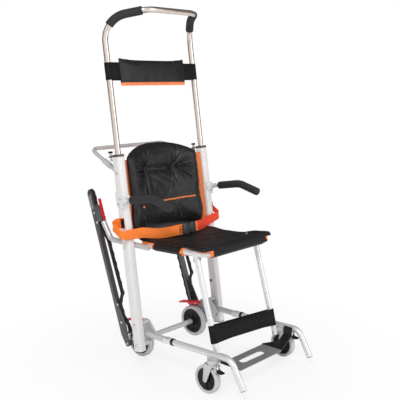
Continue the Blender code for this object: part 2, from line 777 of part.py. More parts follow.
def build_back(frame):
    """The sling hangs back between the posts; the tufted cushion lies on it."""
    edge = POST_INNER - GAP

    def sling_y(x):
        return -SLING_FORWARD + BACK_SAG * (1 - (x / edge) ** 2)

    def sling(offset):
        def surface(across, up):
            x = (2 * across - 1) * edge
            return x, sling_y(x) + offset, BACK_BOTTOM + up * BACK_HEIGHT

        return surface

    piece("back_sling", leaned(padded_solid(16, 2, sling(-SLING_SHEET), sling(0.0))), "orange_webbing", frame)

    def outline(across, up):
        share = 2 * across - 1
        shoulder = CUSHION_TOP_ROUND * abs(share) ** 2.3
        x = share * CUSHION_HALF_WIDTH * (1 - 0.01 * max(0.0, 2 * up - 1) ** 2)
        return x, CUSHION_BOTTOM + up * (CUSHION_HEIGHT - shoulder)

    def dip(x, z):
        total = 0.0
        for sign in (1, -1):
            run = math.hypot(x - sign * TUFT_HALF_SPACING, z - CUSHION_BOTTOM - TUFT_UP)
            total += math.exp(-((run / 0.026) ** 2))
        crease = math.exp(-(((z - CUSHION_BOTTOM - TUFT_UP) / 0.010) ** 2))
        between = max(0.0, 1 - (x / TUFT_HALF_SPACING) ** 4)
        return min(1.0, total + 0.45 * crease * between)

    def front(across, up):
        x, z = outline(across, up)
        swell = (max(0.0, 1 - (2 * across - 1) ** 6) * max(0.0, 1 - (2 * up - 1) ** 6)) ** 0.5
        depth = CUSHION_EDGE + (CUSHION_CROWN - CUSHION_EDGE) * swell - TUFT_DEPTH * dip(x, z) * swell
        return x, sling_y(x) - SLING_SHEET - GAP - depth, z

    def back(across, up):
        x, z = outline(across, up)
        return x, sling_y(x) - SLING_SHEET - GAP, z

    piece("back_cushion", leaned(padded_solid(24, 17, front, back)), "black_nylon", frame)


def belt_path():
    """The left strap: a loose loop round the post, then forward to the buckle over the seat."""
    clear = GAP + WEBBING / 2 + 0.0006
    outer, front = POST_OUTER + BELT_SLACK, -POST_DEPTH / 2 - clear
    rear = POST_DEPTH / 2 + GAP + WEBBING / 2
    end = BUCKLE_LENGTH / 2 + GAP
    corners = [
        (POST_INNER + 0.004, rear, BELT_UP + BELT_RISE),
        (outer, rear + 0.002, BELT_UP + BELT_RISE * 0.8),
        (outer + 0.003, front - 0.004, BELT_UP + BELT_RISE * 0.1),
        (POST_INNER - 0.030, front - 0.012, BELT_UP - BELT_DROOP * 0.3),
    ]
    wrap = rounded_path(corners, [BELT_LOOP_BEND, BELT_LOOP_BEND], 5)
    lead = [
        wrap[-1],
        Vector((POST_INNER * 0.58, front - BELT_FORWARD * 0.62, BELT_UP - BELT_DROOP * 0.75)),
        Vector((end + 0.020, front - BELT_FORWARD, BELT_UP - BELT_DROOP)),
        Vector((end, front - BELT_FORWARD, BELT_UP - BELT_DROOP)),
    ]
    return wrap[:-1] + smooth_path(lead)


def build_lap_belt(frame):
    path = belt_path()
    pair("lap_belt", leaned(webbing(path, BELT_WIDTH, WEBBING)), "orange_webbing", (frame, frame))
    half, tall = BUCKLE_LENGTH / 2, BUCKLE_HEIGHT / 2
    waist = tall * 0.72
    outline = [
        (-half, -tall * 0.9), (-half * 0.35, -tall), (-half * 0.15, -waist), (half * 0.2, -waist),
        (half * 0.35, -tall), (half, -tall * 0.9), (half, tall * 0.9), (half * 0.35, tall),
        (half * 0.2, waist), (-half * 0.15, waist), (-half * 0.35, tall), (-half, tall * 0.9),
    ]
    buckle = prism(outline, -BUCKLE_THICKNESS / 2, BUCKLE_THICKNESS / 2)
    end = path[-1]
    buckle.transform(Matrix.Translation((0, end.y, end.z)) @ Matrix.Rotation(math.pi / 2, 4, "X"))
    piece("belt_buckle", leaned(buckle), "black_plastic", frame)


def build_seat_rails(frame):
    """Bent tubes along the posts: the seat hinges on the front end, the rear end holds the stowed track."""
    y, z = SEAT_PIVOT.y, SEAT_PIVOT.z
    path = rounded_path(
        [(RAIL_X, y - 0.011, z), (RAIL_X, y + RAIL_BACK, z),
         (RAIL_X, y + RAIL_BACK + RAIL_HOOK, z + RAIL_HOOK_RISE)],
        [RAIL_BEND],
    )
    hole = cross_rod(y, z, RAIL_X - 0.02, RAIL_X + 0.02, PIN_RADIUS + PIN_GAP)
    pair("seat_rail", carved(bar(path, RAIL_RADIUS), [hole]), "grey_tube", (frame, frame))


def seat_path():
    pivot, front = SEAT_PIVOT, SEAT_PIVOT + Vector((0, -SEAT_DEPTH, SEAT_RISE))
    side = Vector((SEAT_HALF_WIDTH, 0, 0))
    back = Vector((0, 0.011, 0))
    return rounded_path(
        [pivot + side + back, front + side, front - side, pivot - side + back], [SEAT_BEND, SEAT_BEND]
    )


def build_seat(body):
    pin_from, pin_to = SEAT_HALF_WIDTH, RAIL_X + RAIL_RADIUS - 0.001
    reach = LEG_RADIUS + GAP
    extras = []
    for sign in (1, -1):
        extras.append(cross_rod(SEAT_PIVOT.y, SEAT_PIVOT.z, sign * pin_from, sign * pin_to, PIN_RADIUS))
        tube_z = SEAT_PIVOT.z + SEAT_RISE * LINK_FORWARD / SEAT_DEPTH
        for low in (reach, -reach - CLEVIS_EAR):
            x = sign * LEG_HALF_SPACING + low
            ear = lug((LEG_TOP.y, LEG_TOP.z), (LEG_TOP.y, tube_z), 0.008, 0.010)
            extras.append(prism(ear, x, x + CLEVIS_EAR, "X"))
        ends = (LEG_HALF_SPACING - reach - CLEVIS_EAR - 0.001, LEG_HALF_SPACING + reach + CLEVIS_EAR + 0.001)
        extras.append(cross_rod(LEG_TOP.y, LEG_TOP.z, sign * ends[0], sign * ends[1], PIN_RADIUS))
    path = seat_path()
    piece("seat_frame", joined(bar(path, SEAT_TUBE_RADIUS), extras), "white_aluminium", body)
    build_seat_cover(body, path)


def eased(share):
    """A share held between 0 and 1, with a soft start and end."""
    held = max(0.0, min(1.0, share))
    return held * held * (3 - 2 * held)


def build_seat_cover(body, path):
    """A padded cover sleeved on the tube and sagging in the middle; the sleeve is cut away at the corners."""
    wall = SEAT_TUBE_RADIUS + GAP + SEAT_COVER_WALL
    over = SEAT_TUBE_RADIUS + GAP
    crown = over + SEAT_COVER_TOP
    half = SEAT_HALF_WIDTH + wall
    back_y, front_y = SEAT_PIVOT.y + SEAT_COVER_BACK, SEAT_PIVOT.y - SEAT_DEPTH - wall

    def rim(y):
        """Height of the cover over the side tubes: a bolster in front, a saddle, a step at the back."""
        behind = y - SEAT_PIVOT.y + SEAT_DEPTH
        front = eased((SEAT_BOLSTER * 2.4 - behind) / (SEAT_BOLSTER * 1.4))
        rear = eased((behind - SEAT_DEPTH * 0.76) / (SEAT_DEPTH * 0.22))
        bolster = (SEAT_COVER_TOP - SEAT_COVER_LOW) * front
        return over + SEAT_COVER_LOW + bolster + (SEAT_COVER_REAR - SEAT_COVER_LOW) * rear

    def plan(across, along):
        x, y = (2 * across - 1) * half, back_y + along * (front_y - back_y)
        level = SEAT_PIVOT.z + SEAT_RISE * (SEAT_PIVOT.y - y) / SEAT_DEPTH
        sleeve = max(abs(x) - SEAT_HALF_WIDTH, SEAT_PIVOT.y - SEAT_DEPTH - y, -wall)
        round_off = math.sqrt(max(0.0, 1 - max(0.0, sleeve / wall) ** 2))
        inside = max(0.0, 1 - (x / SEAT_HALF_WIDTH) ** 4) * max(0.0, min(1.0, (y - front_y) / 0.07 - 0.35))
        return x, y, level, round_off, inside ** 0.5

    def top(across, along):
        x, y, level, round_off, inside = plan(across, along)
        height = rim(y) * (1 - inside) + crown * inside
        return x, y, level + max(0.0022, height * round_off) - SEAT_COVER_SAG * inside

    def bottom(across, along):
        x, y, level, round_off, inside = plan(across, along)
        middle = crown - SEAT_COVER_SAG - SEAT_PAD
        return x, y, level - max(0.0022, wall * round_off) * (1 - inside) + middle * inside

    tube = bar(path, SEAT_TUBE_RADIUS + GAP)
    cuts = [tube]
    low, high = SEAT_PIVOT.z - 0.06, SEAT_PIVOT.z + SEAT_TUBE_RADIUS + GAP
    front_mid = (SEAT_HALF_WIDTH + SEAT_CUTOUT_OUT, SEAT_PIVOT.y - SEAT_DEPTH + SEAT_CUTOUT_OUT)
    inner = SEAT_HALF_WIDTH - SEAT_TUBE_RADIUS - 0.008
    for sign in (1, -1):
        centre = (sign * front_mid[0], front_mid[1])
        cuts.append(prism(arc(centre, SEAT_CUTOUT, 0, 345, 23), low, high + SEAT_RISE))
        rear = SEAT_PIVOT.y - SEAT_SLEEVE_END
        xs = sorted((sign * inner, sign * (half + 0.05)))
        cuts.append(block((xs[0], rear, low), (xs[1], back_y + 0.02, high)))
    cover = carved(padded_solid(24, 18, top, bottom), cuts)
    piece("seat_cushion", cover, "black_nylon", body)


def build_legs(seat_body):
    body = joint("leg_axis", LEG_TOP, seat_body)
    top = LEG_LENGTH + LEG_TOP_STUB
    tube = rod((LEG_HALF_SPACING, 0, -0.009), (LEG_HALF_SPACING, 0, top), LEG_RADIUS, 14)
    holes = [
        cross_rod(0, z, LEG_HALF_SPACING - 0.02, LEG_HALF_SPACING + 0.02, PIN_RADIUS + PIN_GAP)
        for z in (0, LEG_LENGTH)
    ]
    pair("leg", tilted(carved(tube, holes), LEG_LEAN, LEG_FOOT), "white_aluminium", (body, body))
    strap = strap_loop(LEG_HALF_SPACING, LEG_RADIUS, CALF_STRAP_UP, CALF_STRAP_UP + CALF_STRAP_HEIGHT)
    slant = Matrix.Identity(4)
    slant[2][0] = -CALF_STRAP_SLANT / (2 * LEG_HALF_SPACING)
    slant[2][3] = -CALF_STRAP_SLANT / 2
    strap.transform(slant)
    piece("calf_strap", tilted(strap, LEG_LEAN, LEG_FOOT), "black_nylon", body)


def base_point(forward, up=0.0):
    """A point (y, z) in the base's frame: forward from its pivot, and up from the side tube's centre line."""
    return BASE_PIVOT.y - forward, BASE_PIVOT.z + BASE_RISE * min(forward, BASE_RUN) / BASE_RUN + up


def build_base(frame, body):
    knuckle = BASE_RADIUS + 0.0015
    y, z = BASE_PIVOT.y, BASE_PIVOT.z
    stub = rod((BASE_X, y + BASE_STUB_BACK, z), (BASE_X, y + knuckle, z), BASE_RADIUS)
    tongue = prism(
        lug((y, z), (y + knuckle + 0.012, z), BASE_RADIUS - 0.0006, BASE_RADIUS * 0.8),
        BASE_X - BASE_TONGUE / 2, BASE_X + BASE_TONGUE / 2, "X",
    )
    hole = cross_rod(y, z, BASE_X - 0.02, BASE_X + 0.02, PIN_RADIUS + PIN_GAP)
    pair("base_stub", carved(joined(stub, [tongue]), [hole]), "grey_tube", (frame, frame))

    front = base_point(BASE_RUN)
    foot = (front[0] - FOOT_RUN, front[1] - FOOT_DROP)
    start = base_point(knuckle)
    path = rounded_path([(BASE_X, *start), (BASE_X, *front), (BASE_X, *foot)], [FOOT_BEND])
    extras = []
    for x_from, x_to in (
        (BASE_X + BASE_TONGUE / 2 + GAP, BASE_X + BASE_RADIUS - 0.0004),
        (BASE_X - BASE_RADIUS + 0.0004, BASE_X - BASE_TONGUE / 2 - GAP),
    ):
        extras.append(prism(lug((y, z), base_point(knuckle + 0.012), BASE_RADIUS - 0.0006, BASE_RADIUS * 0.7),
                            x_from, x_to, "X"))
    extras.append(cross_rod(y, z, BASE_X - BASE_RADIUS + 0.001, BASE_X + BASE_RADIUS - 0.001, PIN_RADIUS))
    pair("base_tube", joined(bar(path, BASE_RADIUS), extras), "white_aluminium", (body, body))
    build_footrest(body)
    build_caster_mounts(body)


def build_footrest(body):
    """A folded sheet tray with a hand slot; its flanges hang on the side tubes."""
    lip = BASE_X - BASE_RADIUS - GAP
    level = base_point(TRAY_FRONT)[1]
    floor = level - TRAY_DROP
    lip_low, lip_high = level - TRAY_KNEE_DROP, level + BASE_RADIUS * 0.5
    half = [
        (0, floor), (TRAY_HALF_WIDTH, floor), (lip - TRAY_SHEET * 0.4, lip_low),
        (lip, lip_low + TRAY_SHEET * 1.2), (lip, lip_high), (lip - TRAY_SHEET, lip_high),
        (lip - TRAY_SHEET, lip_low + TRAY_SHEET * 2),
        (TRAY_HALF_WIDTH - TRAY_SHEET * 0.5, floor + TRAY_SHEET), (0, floor + TRAY_SHEET),
    ]
    section = half + [(-x, z) for x, z in reversed(half[1:-1])]
    sheet = prism(section, 0, TRAY_FRONT - TRAY_BACK)
    front_y = BASE_PIVOT.y - TRAY_FRONT
    swap = Matrix(((1, 0, 0, 0), (0, 0, 1, 0), (0, 1, 0, 0), (0, 0, 0, 1)))
    sheet.transform(Matrix.Translation((0, front_y, 0)) @ swap)
    sheet.flip_normals()
    back_y = BASE_PIVOT.y - TRAY_BACK
    flange_y = MOUNT_FRONT - MOUNT_CLEARANCE
    cuts = []
    for sign in (1, -1):
        corner = [(sign * TRAY_HALF_WIDTH, back_y + 0.01), (sign * 0.3, back_y + 0.01),
                  (sign * 0.3, flange_y), (sign * (TRAY_HALF_WIDTH + 0.030), flange_y)]
        cuts.append(prism(corner, floor - 0.02, lip_high + 0.02))
    middle = (front_y + back_y) / 2
    ends = [(TRAY_SLOT_LENGTH / 2, middle), (-TRAY_SLOT_LENGTH / 2, middle)]
    slot = lug(ends[0], ends[1], TRAY_SLOT_WIDTH / 2, TRAY_SLOT_WIDTH / 2)
    cuts.append(prism(slot, floor - 0.02, floor + 0.02))
    piece("footrest", carved(sheet, cuts), "grey_sheet", body)


def caster_levels():
    crown_low = 2 * CASTER_RADIUS + FORK_GAP
    return crown_low, crown_low + CROWN_HEIGHT


def build_caster_mounts(body):
    """Moulded blocks under the side tubes: they hold the caster's stem and the leg's foot pin."""
    low = caster_levels()[1] + GAP
    leg_side = LEG_HALF_SPACING + LEG_RADIUS + GAP
    tube_y, tube_z = base_point(CASTER_FORWARD)
    top = tube_z - BASE_RADIUS * 0.35
    rear, front = LEG_FOOT.y + 0.012, MOUNT_FRONT
    inner = leg_side + WEBBING + 3 * GAP
    shell = prism([(rear, low), (front, low), (front, top), (rear, top)], inner, BASE_X + BASE_RADIUS, "X")
    boss = rod((CASTER_X, CASTER_Y, low), (CASTER_X, CASTER_Y, top - 0.004), 0.0165, 16)
    web = block((BASE_X, CASTER_Y - 0.0165, low), (CASTER_X, CASTER_Y + 0.0165, top - 0.004))
    ear_outline = lug((LEG_FOOT.y, LEG_FOOT.z), (LEG_FOOT.y, low + 0.004), 0.0075, 0.0105)
    ear = prism(ear_outline, leg_side, leg_side + 0.007, "X")
    pin_start = LEG_HALF_SPACING - LEG_RADIUS - 0.001
    pin = cross_rod(LEG_FOOT.y, LEG_FOOT.z, pin_start, leg_side + 0.003, PIN_RADIUS)
    start, end = base_point(0.05), base_point(BASE_RUN)
    saddle = rod((BASE_X, *start), (BASE_X, *end), around(BASE_RADIUS, 12), 12)
    stem = rod((CASTER_X, CASTER_Y, low - 0.01), (CASTER_X, CASTER_Y, low + 0.011), 0.006 + PIN_GAP, 12)
    mount = carved(joined(shell, [boss, web, ear, pin]), [saddle, stem])
    pair("caster_mount", mount, "black_plastic", (body, body))


def wheel_profiles(width, hub_length, radius, tyre, bore):
    """Closed (x, radius) outlines of a dished hub and of the tyre on it."""
    rim = radius - tyre
    face = width * 0.36
    hub = [
        (-hub_length / 2, bore), (-hub_length / 2, rim * 0.26), (-face * 0.45, rim * 0.32),
        (-face * 0.45, rim * 0.72), (-face, rim * 0.84), (-face, rim - GAP),
        (face, rim - GAP), (face, rim * 0.84), (face * 0.45, rim * 0.72),
        (face * 0.45, rim * 0.32), (hub_length / 2, rim * 0.26), (hub_length / 2, bore),
    ]
    side = width / 2
    band = [
        (-side * 0.80, rim), (-side, rim + tyre * 0.35), (-side * 0.92, radius - tyre * 0.22),
        (-side * 0.45, radius), (side * 0.45, radius), (side * 0.92, radius - tyre * 0.22),
        (side, rim + tyre * 0.35), (side * 0.80, rim),
    ]
    return hub, band


def build_casters(base_body):
    crown_low, crown_high = caster_levels()
    stem_top = crown_high + GAP + 0.010
    swivels = joint_pair("caster_swivel", (CASTER_X, CASTER_Y, crown_high), (base_body, base_body))
    axle_y = CASTER_Y + CASTER_TRAIL
    inner = CASTER_WIDTH / 2 + FORK_GAP
    crown = prism(
        [(CASTER_X + x, CASTER_Y + 0.004 + y)
         for x, y in rounded_box(2 * (inner + FORK_SHEET), 0.044, 0.008)],
        crown_low, crown_high,
    )
    extras = [
        rod((CASTER_X, CASTER_Y, crown_high - 0.001), (CASTER_X, CASTER_Y, stem_top), 0.006),
        cross_rod(axle_y, CASTER_RADIUS, CASTER_X - inner - 0.004, CASTER_X + inner + 0.004, CASTER_AXLE),
    ]
    cheek = arc((axle_y, CASTER_RADIUS), 0.009, 200, 340, 6)
    cheek += [(CASTER_Y + 0.022, crown_high - 0.001), (CASTER_Y - 0.014, crown_high - 0.001)]
    for x in (CASTER_X + inner, CASTER_X - inner - FORK_SHEET):
        extras.append(prism(cheek, x, x + FORK_SHEET, "X"))
    lever_y, lever_z = CASTER_Y - 0.026, crown_low - BRAKE_DROP
    bridge_low = (CASTER_X - 0.012, lever_y - 0.002, crown_low)
    bridge = block(bridge_low, (CASTER_X - 0.0085, CASTER_Y - 0.010, crown_high))
    other = bridge.copy()
    other.transform(Matrix.Translation((0.0205, 0, 0)))
    ears = [
        prism(
            lug((lever_y, lever_z), (lever_y + 0.004, crown_low + 0.0005), 0.0042, 0.0035),
            x, x + 0.0035, "X",
        )
        for x in (CASTER_X - 0.012, CASTER_X + 0.0085)
    ]
    hinge = cross_rod(lever_y, lever_z, CASTER_X - 0.0115, CASTER_X + 0.0115, 0.002, 10)
    fork = joined(crown, extras + [bridge, other, *ears, hinge])
    pair("caster_fork", fork, "silver_zinc", swivels)

    lever = [
        (lever_y + 0.004, lever_z - 0.004), (lever_y + 0.004, lever_z + 0.0035),
        (lever_y - 0.004, lever_z + 0.004), (lever_y - 0.024, lever_z + 0.001),
        (lever_y - 0.026, lever_z - 0.002), (lever_y - 0.012, lever_z - 0.005),
    ]
    eye = cross_rod(lever_y, lever_z, CASTER_X - 0.02, CASTER_X + 0.02, 0.002 + PIN_GAP, 10)
    pedal = carved(prism(lever, CASTER_X - 0.0080, CASTER_X + 0.0080, "X"), [eye])
    levers = joint_pair("caster_brake_axis", (CASTER_X, lever_y, lever_z), swivels)
    pair("caster_brake", pedal, "black_plastic", levers)

    centre = (CASTER_X, axle_y, CASTER_RADIUS)
    axles = joint_pair("caster_axle", centre, swivels)
    hub, band = wheel_profiles(
        CASTER_WIDTH, 2 * (inner - GAP), CASTER_RADIUS, CASTER_TYRE, CASTER_AXLE + PIN_GAP
    )
    pair("caster_hub", turned(hub, centre, 18), "black_plastic", axles)
    pair("caster_tyre", turned(band, centre, 18), "grey_tyre", axles)


def build_rear_wheels(frame):
    """Axle, the plates that carry it on the post feet, and the wheels inside them."""
    tube_end = WHEEL_HALF_SPACING - HUB_LENGTH / 2 - GAP
    end = PLATE_OUT + 0.003
    half = [(end, 0.0), (end, AXLE_RADIUS), (tube_end, AXLE_RADIUS), (tube_end, AXLE_TUBE_RADIUS)]
    profile = half + [(-x, r) for x, r in reversed(half)]
    piece("rear_axle", turned(profile, (0, WHEEL_BACK, WHEEL_RADIUS), 14), "grey_tube", frame)

    foot = on_post(0, 0, POST_FOOT + 0.022)
    upper = on_post(0, 0, POST_FOOT + 0.098)
    nose = (BASE_PIVOT.y + 0.074, BASE_PIVOT.z)
    outline = [
        nose, (upper.y - 0.010, upper.z + 0.008), (upper.y + 0.010, upper.z + 0.008),
        (PEDAL_PIVOT_Y + 0.002, PEDAL_PIVOT_Z + 0.008), (PEDAL_PIVOT_Y + 0.009, PEDAL_PIVOT_Z),
        (WHEEL_BACK + 0.012, WHEEL_RADIUS + 0.030), (TRACK_PIVOT_Y + 0.010, TRACK_PIVOT_Z + 0.010),
        (TRACK_PIVOT_Y + 0.010, TRACK_PIVOT_Z - 0.008), (TRACK_PIVOT_Y, TRACK_PIVOT_Z - 0.012),
        (WHEEL_BACK - 0.010, WHEEL_RADIUS - 0.016), (foot.y - 0.008, foot.z - 0.012),
        (foot.y - 0.012, foot.z),
    ]
    plate = prism(outline, PLATE_IN, PLATE_OUT, "X")
    reach = POST_INNER - GAP
    extras = [cross_rod(p.y, p.z, PLATE_OUT - 0.001, reach, 0.008) for p in (foot, upper)]
    extras.append(cross_rod(TRACK_PIVOT_Y, TRACK_PIVOT_Z, PLATE_OUT - 0.001, reach, PIN_RADIUS + 0.001))
    pedal_in = WHEEL_HALF_SPACING - PEDAL_WIDTH / 2
    extras.append(cross_rod(PEDAL_PIVOT_Y, PEDAL_PIVOT_Z, PLATE_IN + 0.001, pedal_in - 0.001, PIN_RADIUS))
    bore = cross_rod(WHEEL_BACK, WHEEL_RADIUS, PLATE_IN - 0.01, PLATE_OUT + 0.01, AXLE_RADIUS + PIN_GAP, 14)
    pair("axle_plate", carved(joined(plate, extras), [bore]), "grey_tube", (frame, frame))

    centre = (WHEEL_HALF_SPACING, WHEEL_BACK, WHEEL_RADIUS)
    axles = joint_pair("rear_wheel_axle", centre, (frame, frame))
    hub, band = wheel_profiles(WHEEL_WIDTH, HUB_LENGTH, WHEEL_RADIUS, WHEEL_TYRE, AXLE_RADIUS + PIN_GAP)
    pair("rear_hub", turned(hub, centre, 20), "black_plastic", axles)
    pair("rear_tyre", turned(band, centre, 20), "grey_tyre", axles)
    build_pedals(frame)


def build_pedals(frame):
    """Red brake levers over the rear tyres, with a shoe that presses on the tread."""
    y, z = PEDAL_PIVOT_Y, PEDAL_PIVOT_Z
    x_in, x_out = WHEEL_HALF_SPACING - PEDAL_WIDTH / 2, WHEEL_HALF_SPACING + PEDAL_WIDTH / 2
    tail = (y + PEDAL_LENGTH, z - 0.012)
    outline = arc((y, z), 0.0065, 90, 250, 6) + [
        (y + 0.014, z - 0.0070), (y + 0.030, z - 0.0125), (y + 0.040, z - 0.0125), (y + 0.046, z - 0.0075),
        (tail[0] - 0.006, tail[1] - PEDAL_SHEET), (tail[0], tail[1] - 0.006), (tail[0] + 0.002, tail[1]),
    ]
    eye = cross_rod(y, z, x_in - 0.01, x_out + 0.01, PIN_RADIUS + PIN_GAP)
    pedal = carved(prism(outline, x_in, x_out, "X"), [eye])
    axes = joint_pair("brake_pedal_axis", (WHEEL_HALF_SPACING, y, z), (frame, frame))
    pair("brake_pedal", pedal, "red_plastic", axes)


def track_outline(inset):
    """The belt's loop in (forward, up) from the pivot's foot on the rear strand, drawn in by an inset."""
    low, high = BELT_BOTTOM, TRACK_LENGTH
    corners = [
        (inset, low + inset), (inset, high - inset), (BELT_DEPTH - inset, high - inset),
        (BELT_DEPTH - inset, BELT_BOW_TOP + 0.040), (BELT_BOW - inset, BELT_BOW_TOP),
        (BELT_BUMP - inset, BELT_BUMP_UP), (BELT_WAIST - inset, BELT_BUMP_UP - 0.036),
        (BELT_WAIST + 0.002 - inset, low + 0.070), (BELT_FLARE - inset, low + 0.030),
        (BELT_FLARE - 0.002 - inset, low + inset),
    ]
    turn = BELT_DEPTH / 2 - inset
    radii = [turn, turn, turn, 0.05, 0.06, 0.012 - inset * 0.8, 0.022, 0.03, 0.012, turn]
    points = [Vector((0, -v, w)) for v, w in corners]
    loop = rounded_path([points[-1]] + points + points[:1], radii, 5)[1:-1]
    return [(p.y, p.z) for p in loop]


def evenly(loop, count):
    """Points at even steps round a closed outline, with their outward normals."""
    closed = [Vector(p) for p in loop] + [Vector(loop[0])]
    lengths = [(b - a).length for a, b in zip(closed, closed[1:])]
    total, found, index, run = sum(lengths), [], 0, 0.0
    for i in range(count):
        mark = total * i / count
        while run + lengths[index] < mark:
            run += lengths[index]
            index += 1
        a, b = closed[index], closed[index + 1]
        ahead = (b - a).normalized()
        found.append((a.lerp(b, (mark - run) / lengths[index]), Vector((ahead.y, -ahead.x))))
    return found


def build_tracks(frame):
    """Each track: a rail with a cheek and a latch block, and a lugged belt that loops round it."""
    bodies = joint_pair("track_axis", (TRACK_OUTER, TRACK_PIVOT.y, TRACK_PIVOT.z), (frame, frame))
    base = TRACK_BASE
    belt_in, belt_out = TRACK_INNER, TRACK_OUTER - TRACK_CHEEK - GAP

    middle = evenly(track_outline(BELT_THICKNESS / 2), BELT_LUGS * 4)
    outer, inner = [], []
    for i, (point, out) in enumerate(middle):
        rise = BELT_LUG if i % 4 in (1, 2) else 0.0
        outer.append(point + out * (BELT_THICKNESS / 2 + rise))
        inner.append(point - out * (BELT_THICKNESS / 2))
    belt = ring_solid(outer, inner, belt_in, belt_out)
    pair("track_belt", tilted(belt, TRACK_LEAN, base), "black_foam", bodies)

    inset = BELT_THICKNESS + RAIL_CLEARANCE
    core_front = BELT_DEPTH - inset
    core_top = TRACK_LENGTH - inset - 0.001
    core = prism(
        [(-inset, BELT_BOTTOM + 0.014), (-inset, TRACK_LENGTH - 0.014), (-inset - 0.004, core_top),
         (-core_front + 0.004, core_top), (-core_front, TRACK_LENGTH - 0.014),
         (-core_front, BELT_BOW_TOP + 0.05), (-RAIL_DEPTH, BELT_BOW_TOP + 0.02),
         (-RAIL_DEPTH, BELT_BOTTOM + 0.060), (-core_front, BELT_BOTTOM + 0.014)],
        TRACK_INNER + 0.002, TRACK_OUTER - 0.001, "X",
    )
    cheek_low = TRACK_OUTER - TRACK_CHEEK
    cheek = prism(
        [(-0.004, BELT_BOTTOM)] + [(-0.003, TRACK_LENGTH - 0.012), (-0.010, TRACK_LENGTH - 0.002)]
        + [(-BELT_DEPTH + 0.008, TRACK_LENGTH - 0.002), (-BELT_DEPTH + 0.001, TRACK_LENGTH - 0.012)]
        + [(-BELT_DEPTH + 0.001, BELT_BOW_TOP + 0.05), (-RAIL_DEPTH, BELT_BOW_TOP + 0.02)]
        + [(-RAIL_DEPTH, BELT_BUMP_UP), (-BELT_WAIST, BELT_BUMP_UP - 0.045)]
        + [(-BELT_FLARE + 0.006, BELT_BOTTOM + 0.030)]
        + arc((-TRACK_PIVOT_DEPTH, 0), 0.011, 150, 360, 9),
        cheek_low, TRACK_OUTER, "X",
    )
    eye = cross_rod(-TRACK_PIVOT_DEPTH, 0, TRACK_INNER, TRACK_OUTER, 0.011, 14)
    latch = prism(
        [(-BELT_DEPTH + 0.002, LATCH_UP), (-BELT_DEPTH + 0.002, LATCH_UP + LATCH_HEIGHT),
         (-LATCH_DEPTH + 0.012, LATCH_UP + LATCH_HEIGHT), (-LATCH_DEPTH, LATCH_UP + LATCH_HEIGHT - 0.014),
         (-LATCH_DEPTH, LATCH_UP)],
        cheek_low, TRACK_OUTER, "X",
    )
    housing_back = -BELT_DEPTH - BELT_LUG - RAIL_CLEARANCE
    housing = prism(
        [(housing_back, LATCH_UP), (housing_back, LATCH_UP + LATCH_HEIGHT - 0.004),
         (-LATCH_DEPTH + 0.010, LATCH_UP + LATCH_HEIGHT - 0.004),
         (-LATCH_DEPTH, LATCH_UP + LATCH_HEIGHT - 0.016), (-LATCH_DEPTH, LATCH_UP)],
        TRACK_INNER + 0.002, TRACK_OUTER - 0.001, "X",
    )
    lever_y, lever_z = -LATCH_DEPTH - GAP - LEVER_SHEET / 2, LATCH_UP + 0.012
    lever_in, lever_out = TRACK_INNER + 0.006, TRACK_OUTER - 0.004
    pivot = cross_rod(lever_y, lever_z, lever_in - 0.003, lever_out + 0.003, 0.0013, 8)
    lobes = [
        prism(lug((lever_y, lever_z), (lever_y + 0.006, lever_z), 0.0024, 0.004), x, x + 0.0025, "X")
        for x in (lever_in - 0.0028, lever_out + 0.0003)
    ]
    rail = joined(core, [cheek, eye, latch, housing, *lobes, pivot])
    bore = PIN_RADIUS + 0.001 + PIN_GAP
    hole = cross_rod(-TRACK_PIVOT_DEPTH, 0, TRACK_INNER - 0.01, TRACK_OUTER + 0.01, bore)
    pair("track_rail", tilted(carved(rail, [hole]), TRACK_LEAN, base), "black_plastic", bodies)

    strip = prism(
        [(lever_y - LEVER_SHEET / 2, lever_z - 0.011),
         (lever_y - LEVER_SHEET / 2, lever_z + LEVER_LENGTH - 0.030),
         (lever_y - LEVER_SHEET / 2 + 0.002, lever_z + LEVER_LENGTH - 0.022),
         (lever_y + LEVER_SHEET / 2, lever_z + LEVER_LENGTH - 0.022), (lever_y + LEVER_SHEET / 2, lever_z)],
        lever_in, lever_out, "X",
    )
    eyelet = cross_rod(lever_y, lever_z, lever_in - 0.01, lever_out + 0.01, 0.0013 + PIN_GAP, 8)
    lever = tilted(carved(strip, [eyelet]), TRACK_LEAN, base)
    centre = base + Matrix.Rotation(-TRACK_LEAN, 3, "X") @ Vector((TRACK_OUTER, lever_y, lever_z))
    axes = joint_pair("latch_axis", centre, bodies)
    pair("latch_lever", lever, "red_plastic", axes)


def centre_on_floor(frame):
    """Moves the chair so that the middle of its box stands over the origin."""
    bpy.context.view_layer.update()
    corners = []
    for obj in bpy.data.objects:
        if obj.type == "MESH":
            corners += [obj.matrix_world @ v.co for v in obj.data.vertices]
    lows = [min(c[i] for c in corners) for i in range(3)]
    highs = [max(c[i] for c in corners) for i in range(3)]
    frame.location += Vector((0, -(lows[1] + highs[1]) / 2, -lows[2]))
    bpy.context.view_layer.update()


def print_joints():
    for obj in bpy.data.objects:
        if obj.type == "EMPTY":
            print("axis", obj.name, [round(c, 5) for c in obj.matrix_world.translation])
    print("leg foot pivot", [round(c, 5) for c in LEG_FOOT])


def main():
    frame = joint("frame", (0, 0, 0))
    build_posts(frame)
    build_collars(frame)
    build_plungers(frame)
    build_handle(frame)
    build_bail(frame)
    build_arms(frame)
    build_back(frame)
    build_lap_belt(frame)
    build_seat_rails(frame)
    seat_body = joint("seat_axis", SEAT_PIVOT, frame)
    build_seat(seat_body)
    build_legs(seat_body)
    base_body = joint("base_axis", BASE_PIVOT, frame)
    build_base(frame, base_body)
    build_casters(base_body)
    build_rear_wheels(frame)
    build_tracks(frame)
    centre_on_floor(frame)
    print_joints()


clear_scene()
MATERIALS = make_materials()
main()
